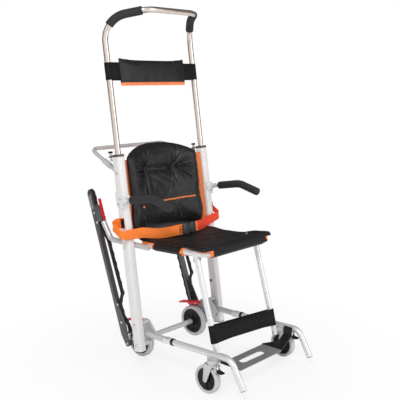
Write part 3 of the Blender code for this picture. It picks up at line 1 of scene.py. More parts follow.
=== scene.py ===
"""Looks of a folding evacuation chair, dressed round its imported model.

Laid out as a Blender add-on: each operator makes one group of pieces, and main() runs them in order.
Metres, +Z up. The sitter faces -Y and the sitter's left is +X.
"""

import json
import math

import bmesh
import bpy
import numpy as np
from mathutils import Matrix, Vector

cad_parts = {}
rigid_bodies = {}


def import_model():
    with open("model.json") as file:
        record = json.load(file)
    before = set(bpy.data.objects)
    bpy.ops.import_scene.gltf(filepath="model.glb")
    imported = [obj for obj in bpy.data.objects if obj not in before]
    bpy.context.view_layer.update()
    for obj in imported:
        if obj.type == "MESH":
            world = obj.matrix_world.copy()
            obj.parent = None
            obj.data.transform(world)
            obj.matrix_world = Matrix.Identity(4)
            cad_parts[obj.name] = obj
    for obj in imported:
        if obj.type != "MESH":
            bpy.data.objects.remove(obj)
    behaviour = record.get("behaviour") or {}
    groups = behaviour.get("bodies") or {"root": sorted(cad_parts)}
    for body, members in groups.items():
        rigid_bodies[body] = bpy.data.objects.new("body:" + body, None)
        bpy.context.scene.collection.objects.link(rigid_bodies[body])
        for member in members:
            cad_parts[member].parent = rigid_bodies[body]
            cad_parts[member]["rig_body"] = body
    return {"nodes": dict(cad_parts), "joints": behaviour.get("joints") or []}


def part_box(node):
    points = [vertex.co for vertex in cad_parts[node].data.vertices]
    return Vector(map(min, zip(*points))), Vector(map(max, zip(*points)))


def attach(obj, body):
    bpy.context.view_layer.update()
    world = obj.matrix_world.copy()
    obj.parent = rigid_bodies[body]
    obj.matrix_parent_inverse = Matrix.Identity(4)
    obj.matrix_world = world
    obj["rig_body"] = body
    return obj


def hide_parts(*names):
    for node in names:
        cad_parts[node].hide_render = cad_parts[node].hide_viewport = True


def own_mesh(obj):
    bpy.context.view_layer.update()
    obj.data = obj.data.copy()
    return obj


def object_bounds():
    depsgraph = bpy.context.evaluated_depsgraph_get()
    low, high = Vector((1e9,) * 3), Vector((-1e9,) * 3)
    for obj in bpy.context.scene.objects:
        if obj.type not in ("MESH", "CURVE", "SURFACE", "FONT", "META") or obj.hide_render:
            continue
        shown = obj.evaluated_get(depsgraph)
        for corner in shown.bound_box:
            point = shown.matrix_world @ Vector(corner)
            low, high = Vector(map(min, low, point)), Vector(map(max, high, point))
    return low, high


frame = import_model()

bl_info = {
    "name": "Evacuation chair",
    "version": (1, 0, 0),
    "blender": (4, 5, 0),
    "location": "View3D > Sidebar > Chair",
    "description": "Dresses the packed evacuation chair with tubes, padding, webbing, wheels and finishes",
    "category": "Object",
}

CAD_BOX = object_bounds()
SIDES = (("left", 1), ("right", -1))
MM = 0.001
GAP = 0.3 * MM

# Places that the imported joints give
JOINTS = {j["name"]: j for j in frame["joints"]}
SEAT_PIVOT = Vector(JOINTS["seat_fold"]["pos_m"])
LEG_TOP = Vector(JOINTS["leg_fold"]["pos_m"])
BASE_PIVOT = Vector(JOINTS["base_fold"]["pos_m"])
LEG_FOOT = LEG_TOP + BASE_PIVOT - SEAT_PIVOT
TRACK_PIVOT = Vector(JOINTS["left_track_fold"]["pos_m"])
FLOOR_SHIFT = SEAT_PIVOT.y + 0.004

# The posts' own frame: distance along the posts is its height
POST_LEAN = math.radians(8.15)
POST = Matrix.Translation((0, FLOOR_SHIFT, 0)) @ Matrix.Rotation(-POST_LEAN, 4, "X")
POST_X, POST_WIDTH, POST_DEPTH, POST_CORNER = 0.220, 0.032, 0.038, 0.008
POST_INNER, POST_OUTER = POST_X - POST_WIDTH / 2, POST_X + POST_WIDTH / 2
POST_FOOT, POST_TOP = 0.061, 0.775
POST_UP = POST.to_3x3() @ Vector((0, 0, 1))
POST_BACK = POST.to_3x3() @ Vector((0, 1, 0))

# The legs' frame, and the tracks' frame with its origin on the rear strand
LEG_LEAN = math.atan2(LEG_TOP.y - LEG_FOOT.y, LEG_TOP.z - LEG_FOOT.z)
LEG = Matrix.Translation(LEG_FOOT) @ Matrix.Rotation(-LEG_LEAN, 4, "X")
TRACK_LEAN = math.radians(19.2)
TRACK_DEPTH = 0.026
TRACK = (
    Matrix.Translation((0, TRACK_PIVOT.y, TRACK_PIVOT.z))
    @ Matrix.Rotation(-TRACK_LEAN, 4, "X")
    @ Matrix.Translation((0, TRACK_DEPTH, 0))
)

# Thickness of the straps, and the angle between faces past which an edge counts as a rim
WEBBING = 2.2 * MM
RIM_ANGLE = 1.2


def linear(code):
    """Linear colour of an sRGB hex code."""
    channels = [int(code[i : i + 2], 16) / 255 for i in (1, 3, 5)]
    return tuple(c / 12.92 if c <= 0.04045 else ((c + 0.055) / 1.055) ** 2.4 for c in channels)


def colour(label, note, code):
    """A colour setting whose default is an sRGB hex code."""
    return bpy.props.FloatVectorProperty(
        name=label, description=note, subtype="COLOR", size=3, min=0.0, max=1.0, default=linear(code)
    )


def length(label, note, metres):
    """A length setting."""
    return bpy.props.FloatProperty(
        name=label, description=note, unit="LENGTH", subtype="DISTANCE", min=0.0, precision=5, default=metres
    )


class ChairColours(bpy.types.PropertyGroup):
    """Colours of the chair's finishes."""

    coat: colour("Coated frame", "Satin coating on posts and arm brackets", "#EAE8E6")
    bright: colour("Bright tube", "Polished aluminium of legs, seat and base tubes", "#ECECEE")
    handle: colour("Handle", "Warm satin tube of the telescopic handle", "#EEE0D6")
    grey: colour("Grey tube", "Bail, rails, plates and axle", "#D2D2D4")
    foam: colour("Foam", "Sponge sleeves on handle and armrests", "#353537")
    cloth: colour("Cloth", "Coated nylon of the cushions", "#1C1C1E")
    orange: colour("Orange webbing", "Near belt strap and bindings", "#FF8636")
    sling: colour("Orange cloth", "Back sling, piping and the lip of the head pad", "#FF8E58")
    # The far strap's colour is the orange webbing made darker and redder: painted shade.
    shaded_orange: colour("Orange webbing in shade", "Far belt strap", "#FA4A28")
    band: colour("Black webbing", "Head strap, calf strap, belt patches and thread", "#0E0E10")
    plastic: colour("Black plastic", "Collars, hubs and plugs", "#161618")
    clip: colour("Buckle", "Side-release buckle of the lap belt", "#36383C")
    tyre: colour("Tyre", "Non-marking grey rubber", "#CFCFD1")
    sheet: colour("Footrest", "Grey sheet of the footrest", "#98989B")
    zinc: colour("Zinc", "Caster forks and fasteners", "#D6D6DA")
    red: colour("Red plastic", "Brake pedals and track latches", "#DE2233")
    track: colour("Track", "Belts of the stair tracks", "#262628")
    rail: colour("Rail", "Black anodised rails of the stair tracks", "#606064")


class ChairSizes(bpy.types.PropertyGroup):
    """Sizes of the visible detail."""

    sides: bpy.props.IntProperty(
        name="Tube sides", description="Faces round each swept tube", default=32, min=12, max=64
    )
    turns: bpy.props.IntProperty(
        name="Wheel segments", description="Faces round each turned wheel", default=72, min=24, max=128
    )
    edge: length("Edge", "Rounding of moulded and pressed edges", 0.6 * MM)
    stitch: length("Stitch pitch", "Distance between stitches", 4.5 * MM)
    piping: length("Piping radius", "Radius of the pocket's orange piping", 3.4 * MM)
    pressure: bpy.props.FloatProperty(
        name="Pressure", description="Inflating pressure in the padded pieces", default=4.0, min=0.0, max=20.0
    )


def add(tree, kind, links=None, **settings):
    """A node with its settings; links gives each input a value or another node's output."""
    node = tree.nodes.new(kind)
    for key, value in settings.items():
        setattr(node, key, value)
    for socket, value in (links or {}).items():
        if isinstance(value, bpy.types.NodeSocket):
            tree.links.new(value, node.inputs[socket])
        else:
            node.inputs[socket].default_value = value
    return node


# Each finish: colour setting, share of the darker mottle, metallic, roughness from and to, grain, grain size in mm,
# bump height in mm, and shader sockets that are the same all over.
FINISHES = {
    # Satin powder coat on extruded aluminium: faint orange peel, soft broad highlights
    "powder coated aluminium": ("coat", 0.05, 0.0, 0.30, 0.42, "peel", 1.4, 0.02, {"Coat Weight": 0.15}),
    # Polished and clear anodised tube: white core, grey edges, hardly any grain
    "bright aluminium": ("bright", 0.03, 0.45, 0.26, 0.32, "peel", 1.2, 0.0, {}),
    # Drawn tube with a warm satin plating: fine lengthwise draw lines
    "satin plated tube": ("handle", 0.03, 1.0, 0.16, 0.20, "drawn", 1.4, 0.0, {}),
    # Clear anodised tube and pressings: even, slightly grainy grey
    "anodised aluminium": ("grey", 0.06, 0.35, 0.34, 0.44, "peel", 1.2, 0.004, {}),
    # Open-cell sponge: fine pits, no highlight; the cells are drawn twice their size so that they show
    "sponge foam": ("foam", 0.30, 0.0, 0.72, 0.88, "cells", 1.6, 0.35, {"Specular IOR Level": 0.3}),
    # Polyurethane coated nylon: a plain weave under a dull coat; threads drawn at three times their spacing
    "coated nylon": ("cloth", 0.25, 0.0, 0.36, 0.48, "weave", 1.5, 0.05, {"Specular IOR Level": 0.40}),
    # The same cloth worn dull by sitting
    "worn nylon": ("cloth", 0.25, 0.0, 0.52, 0.64, "weave", 1.5, 0.05, {"Specular IOR Level": 0.35}),
    # Polyester webbing: crosswise ribs and a herringbone that breaks the highlight
    "orange webbing": ("orange", 0.16, 0.0, 0.62, 0.78, "ribs", 1.9, 0.22, {"Specular IOR Level": 0.3}),
    # The far strap: the same orange webbing in a darker, redder colour as painted shade
    "orange webbing in shade": ("shaded_orange", 0.16, 0.0, 0.62, 0.78, "ribs", 1.9, 0.22, {"Specular IOR Level": 0.3}),
    "black webbing": ("band", 0.30, 0.0, 0.60, 0.76, "ribs", 2.2, 0.25, {"Specular IOR Level": 0.25}),
    # The same dyed yarn as the belt, woven as cloth
    "orange cloth": ("sling", 0.14, 0.0, 0.66, 0.80, "weave", 1.6, 0.12, {"Specular IOR Level": 0.3}),
    # Glass-filled nylon from an eroded mould: fine even grain
    "moulded nylon": ("plastic", 0.25, 0.0, 0.36, 0.50, "peel", 0.8, 0.05, {"Specular IOR Level": 0.35}),
    # Unfilled acetal of the buckle: smoother than the nylon, and a paler grey that paints the highlights on its facets
    "moulded acetal": ("clip", 0.25, 0.0, 0.30, 0.42, "peel", 1.0, 0.03, {}),
    # Thermoplastic rubber tyre: dull, scuffed, faintly dusty
    "grey rubber": ("tyre", 0.14, 0.0, 0.55, 0.72, "peel", 1.2, 0.05, {}),
    # Pressed steel with a grey satin coat
    "coated sheet": ("sheet", 0.14, 0.45, 0.32, 0.46, "peel", 1.1, 0.02, {}),
    # Bright zinc plate on pressings: cool, slightly cloudy
    "zinc plate": ("zinc", 0.10, 0.8, 0.24, 0.34, "peel", 2.4, 0.004, {}),
    # Glossy moulded ABS
    "red ABS": ("red", 0.10, 0.0, 0.26, 0.36, "peel", 1.8, 0.01, {"Coat Weight": 0.2}),
    # Moulded polyurethane belt and black anodised rail
    "track rubber": ("track", 0.25, 0.0, 0.50, 0.66, "peel", 1.0, 0.06, {"Specular IOR Level": 0.35}),
    "black anodised rail": ("rail", 0.12, 0.50, 0.28, 0.36, "peel", 0.9, 0.004, {}),
}
# Size of the mottle in metres; a wave texture's period is WAVE_PERIOD over its scale
CLOUD_SIZE = 0.03
WAVE_PERIOD = 2 * math.pi / 20


def finish(name, zone=None, other="orange"):
    """The named finish; a zone is (label, function that gives a mask socket where another colour shows)."""
    full = name if zone is None else f"{name} with {zone[0]}"
    if full in bpy.data.materials:
        return bpy.data.materials[full]
    key, mottle, metallic, low, high, grain, size, bump, sockets = FINISHES[name]
    colours = bpy.context.scene.chair_colours
    base = Vector(getattr(colours, key))
    material = bpy.data.materials.new(full)
    material.use_nodes = True
    tree = material.node_tree
    shader = tree.nodes["Principled BSDF"]
    shader.inputs["Metallic"].default_value = metallic
    for socket, value in sockets.items():
        shader.inputs[socket].default_value = value
    place = add(tree, "ShaderNodeTexCoord")
    spot = place.outputs["UV"] if grain == "ribs" else place.outputs["Object"]
    cloud = add(tree, "ShaderNodeTexNoise", {"Vector": place.outputs["Object"], "Scale": 1 / CLOUD_SIZE, "Detail": 4.0})
    tint = add(
        tree, "ShaderNodeMix",
        {0: cloud.outputs[0], 6: (*(base * (1 - mottle)), 1), 7: (*(base * (1 + mottle * 0.5)), 1)},
        data_type="RGBA",
    ).outputs[2]
    gloss = add(
        tree, "ShaderNodeMapRange",
        {"Value": cloud.outputs[0], "From Min": 0.3, "From Max": 0.7, "To Min": low, "To Max": high},
    )
    tree.links.new(gloss.outputs[0], shader.inputs["Roughness"])
    pitch = size * MM
    if grain == "cells":
        height = add(tree, "ShaderNodeTexVoronoi", {"Vector": spot, "Scale": 1 / pitch}).outputs["Distance"]
    elif grain == "drawn":
        lines = add(tree, "ShaderNodeMapping", {"Vector": spot, "Scale": (1, 0.02, 0.02)})
        height = add(tree, "ShaderNodeTexNoise", {"Vector": lines.outputs[0], "Scale": 1 / pitch}).outputs[0]
    elif grain in ("weave", "ribs"):
        warp = add(
            tree, "ShaderNodeTexWave", {"Vector": spot, "Scale": WAVE_PERIOD / pitch}, bands_direction="X"
        )
        weft = add(
            tree, "ShaderNodeTexWave", {"Vector": spot, "Scale": WAVE_PERIOD / pitch},
            bands_direction="Y" if grain == "ribs" else "Z",
        )
        mixed = {0: warp.outputs["Fac"], 1: weft.outputs["Fac"]}
        height = add(tree, "ShaderNodeMath", mixed, operation="MULTIPLY" if grain == "weave" else "MAXIMUM").outputs[0]
        # Painted shade and highlight: the colour is darkened between the threads and lifted on their tops.
        shade = add(tree, "ShaderNodeMapRange", {"Value": height, "To Min": 0.78, "To Max": 1.08})
        tint = add(tree, "ShaderNodeVectorMath", {0: tint, 1: shade.outputs[0]}, operation="MULTIPLY").outputs[0]
    else:
        height = add(
            tree, "ShaderNodeTexNoise", {"Vector": spot, "Scale": 1 / pitch, "Detail": 2.0}
        ).outputs[0]
    if zone is not None:
        second = (*getattr(colours, other), 1)
        tint = add(tree, "ShaderNodeMix", {0: zone[1](tree, place), 6: tint, 7: second}, data_type="RGBA").outputs[2]
    tree.links.new(tint, shader.inputs["Base Color"])
    if bump:
        relief = add(tree, "ShaderNodeBump", {"Height": height, "Strength": 0.6, "Distance": bump * MM})
        tree.links.new(relief.outputs[0], shader.inputs["Normal"])
    return material


def linked(name, data):
    """A new object in the scene for a mesh, a lamp or a camera."""
    obj = bpy.data.objects.new(name, data)
    bpy.context.scene.collection.objects.link(obj)
    return obj


def placed(name, mesh, material, angle=35):
    """A new object for a finished mesh, smooth shaded with sharp edges past an angle."""
    obj = linked(name, mesh)
    mesh.materials.clear()
    mesh.materials.append(material)
    mesh.shade_smooth()
    mesh.set_sharp_from_angle(angle=math.radians(angle))
    return obj


def as_mesh(bm, name="piece"):
    """A bmesh as a plain mesh."""
    mesh = bpy.data.meshes.new(name)
    bm.to_mesh(mesh)
    bm.free()
    return mesh


def from_bmesh(bm):
    """A mesh with merged doubles and outward faces."""
    bmesh.ops.remove_doubles(bm, verts=bm.verts, dist=1e-6)
    bmesh.ops.recalc_face_normals(bm, faces=bm.faces)
    return as_mesh(bm)


def node_copy(node):
    """A copy of a CAD node's mesh with merged corners."""
    bm = bmesh.new()
    bm.from_mesh(frame["nodes"][node].data)
    bmesh.ops.remove_doubles(bm, verts=bm.verts, dist=1e-5)
    return bm


def settled(obj):
    """The evaluated mesh of an object, which is then removed."""
    view = bpy.context.evaluated_depsgraph_get()
    mesh = bpy.data.meshes.new_from_object(obj.evaluated_get(view))
    bpy.data.objects.remove(obj, do_unlink=True)
    return mesh


def dressed(obj, body, *nodes, slot=None):
    """Puts a piece on its body in place of CAD nodes."""
    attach(obj, body)
    if nodes:
        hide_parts(*nodes)
    return obj


def arc(centre, radius, start, end, steps):
    """Points on an arc in a plane, from one angle in degrees to another."""
    turns = [math.radians(start + (end - start) * i / steps) for i in range(steps + 1)]
    return [(centre[0] + radius * math.cos(t), centre[1] + radius * math.sin(t)) for t in turns]


def rounded_path(corners, radii, steps=12):
    """A polyline whose inner corners are replaced by arcs."""
    corners = [Vector(c) for c in corners]
    path = [corners[0]]
    for before, corner, after, radius in zip(corners, corners[1:], corners[2:], radii):
        u, w = (before - corner).normalized(), (after - corner).normalized()
        half = u.angle(w) / 2
        centre = corner + (u + w).normalized() * (radius / math.sin(half))
        a = corner + u * (radius / math.tan(half)) - centre
        b = corner + w * (radius / math.tan(half)) - centre
        sweep = a.angle(b)
        for i in range(steps + 1):
            t = i / steps
            path.append(centre + (a * math.sin((1 - t) * sweep) + b * math.sin(t * sweep)) / math.sin(sweep))
    path.append(corners[-1])
    return path


def path_part(path, start, run_length):
    """The stretch of a polyline that begins a given way along it."""
    part, run = [], 0.0
    for a, b in zip(path, path[1:]):
        step = (b - a).length
        for mark in (start, start + run_length):
            if run <= mark < run + step:
                part.append(a.lerp(b, (mark - run) / step))
        run += step
        if start < run < start + run_length:
            part.append(b)
    return part


def path_length(path):
    """The run of an open polyline."""
    return sum((b - a).length for a, b in zip(path, path[1:]))


def with_ends(path, reach):
    """A polyline with points added close to both ends, for rounding them."""
    total = path_length(path)
    marks = [reach * share for share in (0.08, 0.25, 0.5, 1.0)]
    middle = path_part(path, reach * 1.02, total - 2.04 * reach)
    head = [path_part(path, m, total)[0] for m in marks]
    tail = [path_part(path, total - m, m * 0.5)[0] for m in reversed(marks)]
    return [path[0], *head, *middle, *tail, path[-1]]


def on(matrix, points):
    """Points of a leaning frame as places on the chair."""
    return [matrix @ Vector(p) for p in points]


def facing(place, way):
    """A matrix that sets an item on a place with its Z axis along a way."""
    return Matrix.Translation(place) @ way.to_track_quat("Z", "Y").to_matrix().to_4x4()


def mirrored(half):
    """A closed turning profile from its (along, radius) points on one side of the middle."""
    return [(-a, r) for a, r in half] + [(a, r) for a, r in reversed(half)]


def in_mm(profile):
    """A profile given in millimetres."""
    return [(a * MM, r * MM) for a, r in profile]


def nodes_tree(name, inputs):
    """A geometry node tree with a mesh in, named inputs and a mesh out."""
    tree = bpy.data.node_groups.new(name, "GeometryNodeTree")
    tree.interface.new_socket("Geometry", in_out="INPUT", socket_type="NodeSocketGeometry")
    for label, kind in inputs:
        tree.interface.new_socket(label, in_out="INPUT", socket_type=kind)
    tree.interface.new_socket("Geometry", in_out="OUTPUT", socket_type="NodeSocketGeometry")
    return tree, tree.nodes.new("NodeGroupInput"), tree.nodes.new("NodeGroupOutput")


def ended(tree, entry, exit_node, geometry):
    """Realises what a tree made and gives it the material of its input."""
    real = add(tree, "GeometryNodeRealizeInstances", {"Geometry": geometry})
    painted = add(
        tree, "GeometryNodeSetMaterial", {"Geometry": real.outputs[0], "Material": entry.outputs["Material"]}
    )
    tree.links.new(painted.outputs[0], exit_node.inputs[0])
    return tree


def tube_tree():
    """Tube along a path, with rounded end rims."""
    name = "tube along a path"
    if name in bpy.data.node_groups:
        return bpy.data.node_groups[name]
    tree, entry, leave = nodes_tree(
        name,
        [("Radius", "NodeSocketFloat"), ("Sides", "NodeSocketInt"), ("End Round", "NodeSocketFloat"),
         ("Material", "NodeSocketMaterial")],
    )
    curve = add(tree, "GeometryNodeMeshToCurve", {"Mesh": entry.outputs["Geometry"]})
    run = add(tree, "GeometryNodeSplineParameter").outputs["Length"]
    total = add(tree, "GeometryNodeSplineLength").outputs["Length"]
    back = add(tree, "ShaderNodeMath", {0: total, 1: run}, operation="SUBTRACT").outputs[0]
    near = add(tree, "ShaderNodeMath", {0: run, 1: back}, operation="MINIMUM").outputs[0]
    share = add(tree, "ShaderNodeMath", {0: near, 1: entry.outputs["End Round"]}, operation="DIVIDE", use_clamp=True)
    left = add(tree, "ShaderNodeMath", {0: 1.0, 1: share.outputs[0]}, operation="SUBTRACT").outputs[0]
    square = add(tree, "ShaderNodeMath", {0: left, 1: left}, operation="MULTIPLY").outputs[0]
    under = add(tree, "ShaderNodeMath", {0: 1.0, 1: square}, operation="SUBTRACT").outputs[0]
    lift = add(tree, "ShaderNodeMath", {0: under}, operation="SQRT").outputs[0]
    lost = add(tree, "ShaderNodeMath", {0: 1.0, 1: lift}, operation="SUBTRACT").outputs[0]
    ratio = add(
        tree, "ShaderNodeMath", {0: entry.outputs["End Round"], 1: entry.outputs["Radius"]}, operation="DIVIDE"
    ).outputs[0]
    cut = add(tree, "ShaderNodeMath", {0: lost, 1: ratio}, operation="MULTIPLY").outputs[0]
    scale = add(tree, "ShaderNodeMath", {0: 1.0, 1: cut}, operation="SUBTRACT").outputs[0]
    ring = add(
        tree, "GeometryNodeCurvePrimitiveCircle",
        {"Resolution": entry.outputs["Sides"], "Radius": entry.outputs["Radius"]},
    )
    tube = add(
        tree, "GeometryNodeCurveToMesh",
        {"Curve": curve.outputs[0], "Profile Curve": ring.outputs[0], "Scale": scale, "Fill Caps": True},
    )
    return ended(tree, entry, leave, tube.outputs[0])


def items_tree():
    """Copies of an item at even steps along a path; the path's points say which way is out."""
    name = "items along a path"
    if name in bpy.data.node_groups:
        return bpy.data.node_groups[name]
    tree, entry, leave = nodes_tree(
        name, [("Item", "NodeSocketObject"), ("Pitch", "NodeSocketFloat"), ("Material", "NodeSocketMaterial")]
    )
    curve = add(tree, "GeometryNodeMeshToCurve", {"Mesh": entry.outputs["Geometry"]})
    even = add(
        tree, "GeometryNodeResampleCurve", {"Curve": curve.outputs[0], "Length": entry.outputs["Pitch"]}, mode="LENGTH"
    )
    out = add(tree, "GeometryNodeInputNamedAttribute", {"Name": "out"}, data_type="FLOAT_VECTOR").outputs[0]
    ahead = add(tree, "GeometryNodeInputTangent").outputs[0]
    upright = add(tree, "FunctionNodeAlignRotationToVector", {"Vector": out}, axis="Z")
    turn = add(
        tree, "FunctionNodeAlignRotationToVector", {"Rotation": upright.outputs[0], "Vector": ahead},
        axis="X", pivot_axis="Z",
    )
    item = add(tree, "GeometryNodeObjectInfo", {"Object": entry.outputs["Item"]})
    copies = add(
        tree, "GeometryNodeInstanceOnPoints",
        {"Points": even.outputs[0], "Instance": item.outputs["Geometry"], "Rotation": turn.outputs[0]},
    )
    return ended(tree, entry, leave, copies.outputs[0])


def points_tree():
    """One copy of an item at each point, turned the way the point's out vector says."""
    name = "items on points"
    if name in bpy.data.node_groups:
        return bpy.data.node_groups[name]
    tree, entry, leave = nodes_tree(name, [("Item", "NodeSocketObject"), ("Material", "NodeSocketMaterial")])
    out = add(tree, "GeometryNodeInputNamedAttribute", {"Name": "out"}, data_type="FLOAT_VECTOR").outputs[0]
    upright = add(tree, "FunctionNodeAlignRotationToVector", {"Vector": out}, axis="Z")
    item = add(tree, "GeometryNodeObjectInfo", {"Object": entry.outputs["Item"]})
    copies = add(
        tree, "GeometryNodeInstanceOnPoints",
        {"Points": entry.outputs["Geometry"], "Instance": item.outputs["Geometry"], "Rotation": upright.outputs[0]},
    )
    return ended(tree, entry, leave, copies.outputs[0])


def grown(tree, paths, outs=None, closed=False, **inputs):
    """Runs a tree on polylines, or on single points, and gives the plain mesh."""
    points, edges = [], []
    for path in paths:
        first = len(points)
        points += [tuple(p) for p in path]
        edges += [(i, i + 1) for i in range(first, len(points) - 1)]
        if closed:
            edges.append((len(points) - 1, first))
    mesh = bpy.data.meshes.new("path")
    mesh.from_pydata(points, edges, [])
    if outs is not None:
        mesh.attributes.new("out", "FLOAT_VECTOR", "POINT").data.foreach_set("vector", np.array(outs, float).ravel())
    obj = linked("path", mesh)
    modifier = obj.modifiers.new("grow", "NODES")
    modifier.node_group = tree
    for socket in tree.interface.items_tree:
        if socket.in_out == "INPUT" and socket.name in inputs:
            modifier[socket.identifier] = inputs[socket.name]
    made = settled(obj)
    if "out" in made.attributes:
        made.attributes.remove(made.attributes["out"])
    return made


def repeated(tree, item, paths, outs, material, **inputs):
    """The mesh of the copies of an item that a tree sets along paths or on points; the item is then removed."""
    mesh = grown(tree, paths, outs=outs, Item=item, Material=material, **inputs)
    bpy.data.objects.remove(item, do_unlink=True)
    return mesh


def block(size, rim, taper=(1.0, 1.0)):
    """A box round the origin with rounded edges, its upper side drawn in by a taper."""
    bm = bmesh.new()
    bmesh.ops.create_cube(bm, size=1.0)
    bmesh.ops.scale(bm, verts=bm.verts, vec=size)
    bmesh.ops.scale(bm, verts=[v for v in bm.verts if v.co.z > 0], vec=(*taper, 1.0))
    bmesh.ops.bevel(bm, geom=bm.edges[:], offset=rim, segments=2, affect="EDGES")
    return bm


def plate(x, thick, outline, material, rim=0.0):
    """A flat plate of a (y, z) outline that starts at x, with its rims rounded."""
    bm = bmesh.new()
    face = bm.faces.new([bm.verts.new((x, a, b)) for a, b in outline])
    made = bmesh.ops.extrude_face_region(bm, geom=[face])
    moved = [v for v in made["geom"] if isinstance(v, bmesh.types.BMVert)]
    bmesh.ops.translate(bm, verts=moved, vec=(thick, 0, 0))
    if rim:
        bmesh.ops.recalc_face_normals(bm, faces=bm.faces)
        rims = [e for e in bm.edges if e.calc_face_angle(0) > RIM_ANGLE]
        bmesh.ops.bevel(bm, geom=rims, offset=rim, segments=2, affect="EDGES")
    return placed("plate", from_bmesh(bm), material)


def tube(name, paths, radius, material, rim=0.8 * MM, closed=False):
    """One piece of one or more swept tubes."""
    routes = paths if closed else [with_ends(path, max(rim, 0.1 * MM)) for path in paths]
    mesh = grown(
        tube_tree(), routes, closed=closed, Radius=radius, Sides=bpy.context.scene.chair_sizes.sides,
        **{"End Round": rim, "Material": material},
    )
    bm = bmesh.new()
    bm.from_mesh(mesh)
    return placed(name, from_bmesh(bm), material)


def fused(name, objects, angle=35):
    """Several made pieces as one object."""
    bm = bmesh.new()
    for obj in objects:
        bm.from_mesh(obj.data)
    material = objects[0].data.materials[0]
    for obj in objects:
        bpy.data.objects.remove(obj, do_unlink=True)
    return placed(name, as_mesh(bm, name), material, angle)


def turned(name, profile, centre, material, segments=None, axis="X", angle=32):
    """Turns a closed (along, radius) profile about an axis through a centre, or by a matrix."""
    count = segments or bpy.context.scene.chair_sizes.turns
    bm = bmesh.new()
    rings = []
    for along, radius in profile:
        ring = []
        for i in range(count):
            t = 2 * math.pi * i / count
            spot = Vector((along, radius * math.cos(t), radius * math.sin(t)))
            if axis == "Z":
                spot = Vector((spot.y, spot.z, spot.x))
            ring.append(bm.verts.new(spot))
        rings.append(ring)
    for a, b in zip(rings, rings[1:] + rings[:1]):
        for i in range(count):
            j = (i + 1) % count
            bm.faces.new((a[i], a[j], b[j], b[i]))
    bmesh.ops.remove_doubles(bm, verts=bm.verts, dist=1e-6)
    bmesh.ops.dissolve_degenerate(bm, edges=bm.edges, dist=1e-7)
    bm.transform(centre if isinstance(centre, Matrix) else Matrix.Translation(centre))
    return placed(name, from_bmesh(bm), material, angle)


def refined(node, material, edge=None, angle=42):
    """A copy of a CAD node with merged corners, rounded edges and smooth rounds, which replaces the node."""
    bm = node_copy(node)
    bmesh.ops.dissolve_limit(bm, angle_limit=math.radians(0.5), verts=bm.verts, edges=bm.edges)
    obj = placed("rounding", as_mesh(bm, node), material, angle)
    bevel = obj.modifiers.new("edges", "BEVEL")
    bevel.width = bpy.context.scene.chair_sizes.edge if edge is None else edge
    bevel.segments = 2
    bevel.limit_method = "ANGLE"
    bevel.angle_limit = math.radians(angle)
    bevel.miter_outer = "MITER_ARC"
    body = frame["nodes"][node]["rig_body"]
    return dressed(placed(node + "_finish", settled(obj), material, angle), body, node)


def strap(name, path, width, up, material, closed=False, thickness=WEBBING, narrow=None):
    """Flat webbing swept along a path with its width along up; its UV is in metres along and across.

    Narrow gives the share of the width that is left at each point of the path.
    """
    half, thin, soft = width / 2, thickness / 2, thickness * 0.3
    section = [
        (-half + soft, -thin), (0, -thin), (half - soft, -thin), (half, -thin + soft), (half, thin - soft),
        (half - soft, thin), (0, thin), (-half + soft, thin), (-half, thin - soft), (-half, -thin + soft),
    ]
    count, sides = len(path), len(section)
    bm = bmesh.new()
    chart = bm.loops.layers.uv.new("weave")
    rows, runs, run = [], [], 0.0
    for i, point in enumerate(path):
        before = path[i - 1] if closed or i else path[i]
        after = path[(i + 1) % count] if closed or i < count - 1 else path[i]
        ahead = (after - before).normalized()
        across = ahead.cross(up).normalized()
        rise = across.cross(ahead).normalized()
        share = narrow[i] if narrow else 1.0
        rows.append([bm.verts.new(point + rise * w * share + across * t) for w, t in section])
        runs.append(run)
        run += (path[(i + 1) % count] - point).length
    runs.append(run)
    around = [0.0]
    for (a, b), (c, d) in zip(section, section[1:] + section[:1]):
        around.append(around[-1] + math.hypot(c - a, d - b))
    for i in range(count if closed else count - 1):
        a, b = rows[i], rows[(i + 1) % count]
        for j in range(sides):
            k = (j + 1) % sides
            face = bm.faces.new((a[j], a[k], b[k], b[j]))
            for loop, u, v in zip(face.loops, (i, i, i + 1, i + 1), (j, j + 1, j + 1, j)):
                loop[chart].uv = (runs[u], around[v])
    if not closed:
        bm.faces.new(rows[0])
        bm.faces.new(rows[-1])
    bmesh.ops.recalc_face_normals(bm, faces=bm.faces)
    return placed(name, as_mesh(bm, name), material, 60)


def stitches(name, paths, outs):
    """Rows of black stitches along polylines: short six-sided threads."""
    run, thick, material = 2.8 * MM, 0.45 * MM, finish("black webbing")
    bm = bmesh.new()
    bmesh.ops.create_cone(bm, cap_ends=True, segments=6, radius1=thick, radius2=thick, depth=run)
    bmesh.ops.rotate(bm, verts=bm.verts, matrix=Matrix.Rotation(math.pi / 2, 3, "Y"))
    item, pitch = linked("stitch_item", from_bmesh(bm)), bpy.context.scene.chair_sizes.stitch
    return placed(name, repeated(items_tree(), item, paths, outs, material, Pitch=pitch), material, 60)


# A low domed head on a washer, with a round socket: (along, radius) in mm
BOLT = (
    (0.0, 0.0), (0.0, 5.4), (0.7, 5.4), (0.9, 5.1), (0.9, 4.3), (1.9, 4.1), (2.9, 3.2), (3.2, 2.3), (3.2, 1.8),
    (1.8, 1.6), (1.8, 0.0),
)


def bolts(name, body, spots, surface="zinc plate", slot="silver_zinc"):
    """Domed bolts on one body; each spot is a place and the way it faces."""
    material = finish(surface)
    item = turned("bolt_item", in_mm(BOLT), (0, 0, 0), material, segments=18, axis="Z")
    points, outs = [[place] for place, _ in spots], [out for _, out in spots]
    return dressed(placed(name, repeated(points_tree(), item, points, outs, material), material), body, slot=slot)


def coords(mesh):
    """A mesh's points as an array."""
    found = np.zeros(len(mesh.vertices) * 3)
    mesh.vertices.foreach_get("co", found)
    return found.reshape(-1, 3)


# Frames in which the pads swell
CLOTH_FRAMES = 20


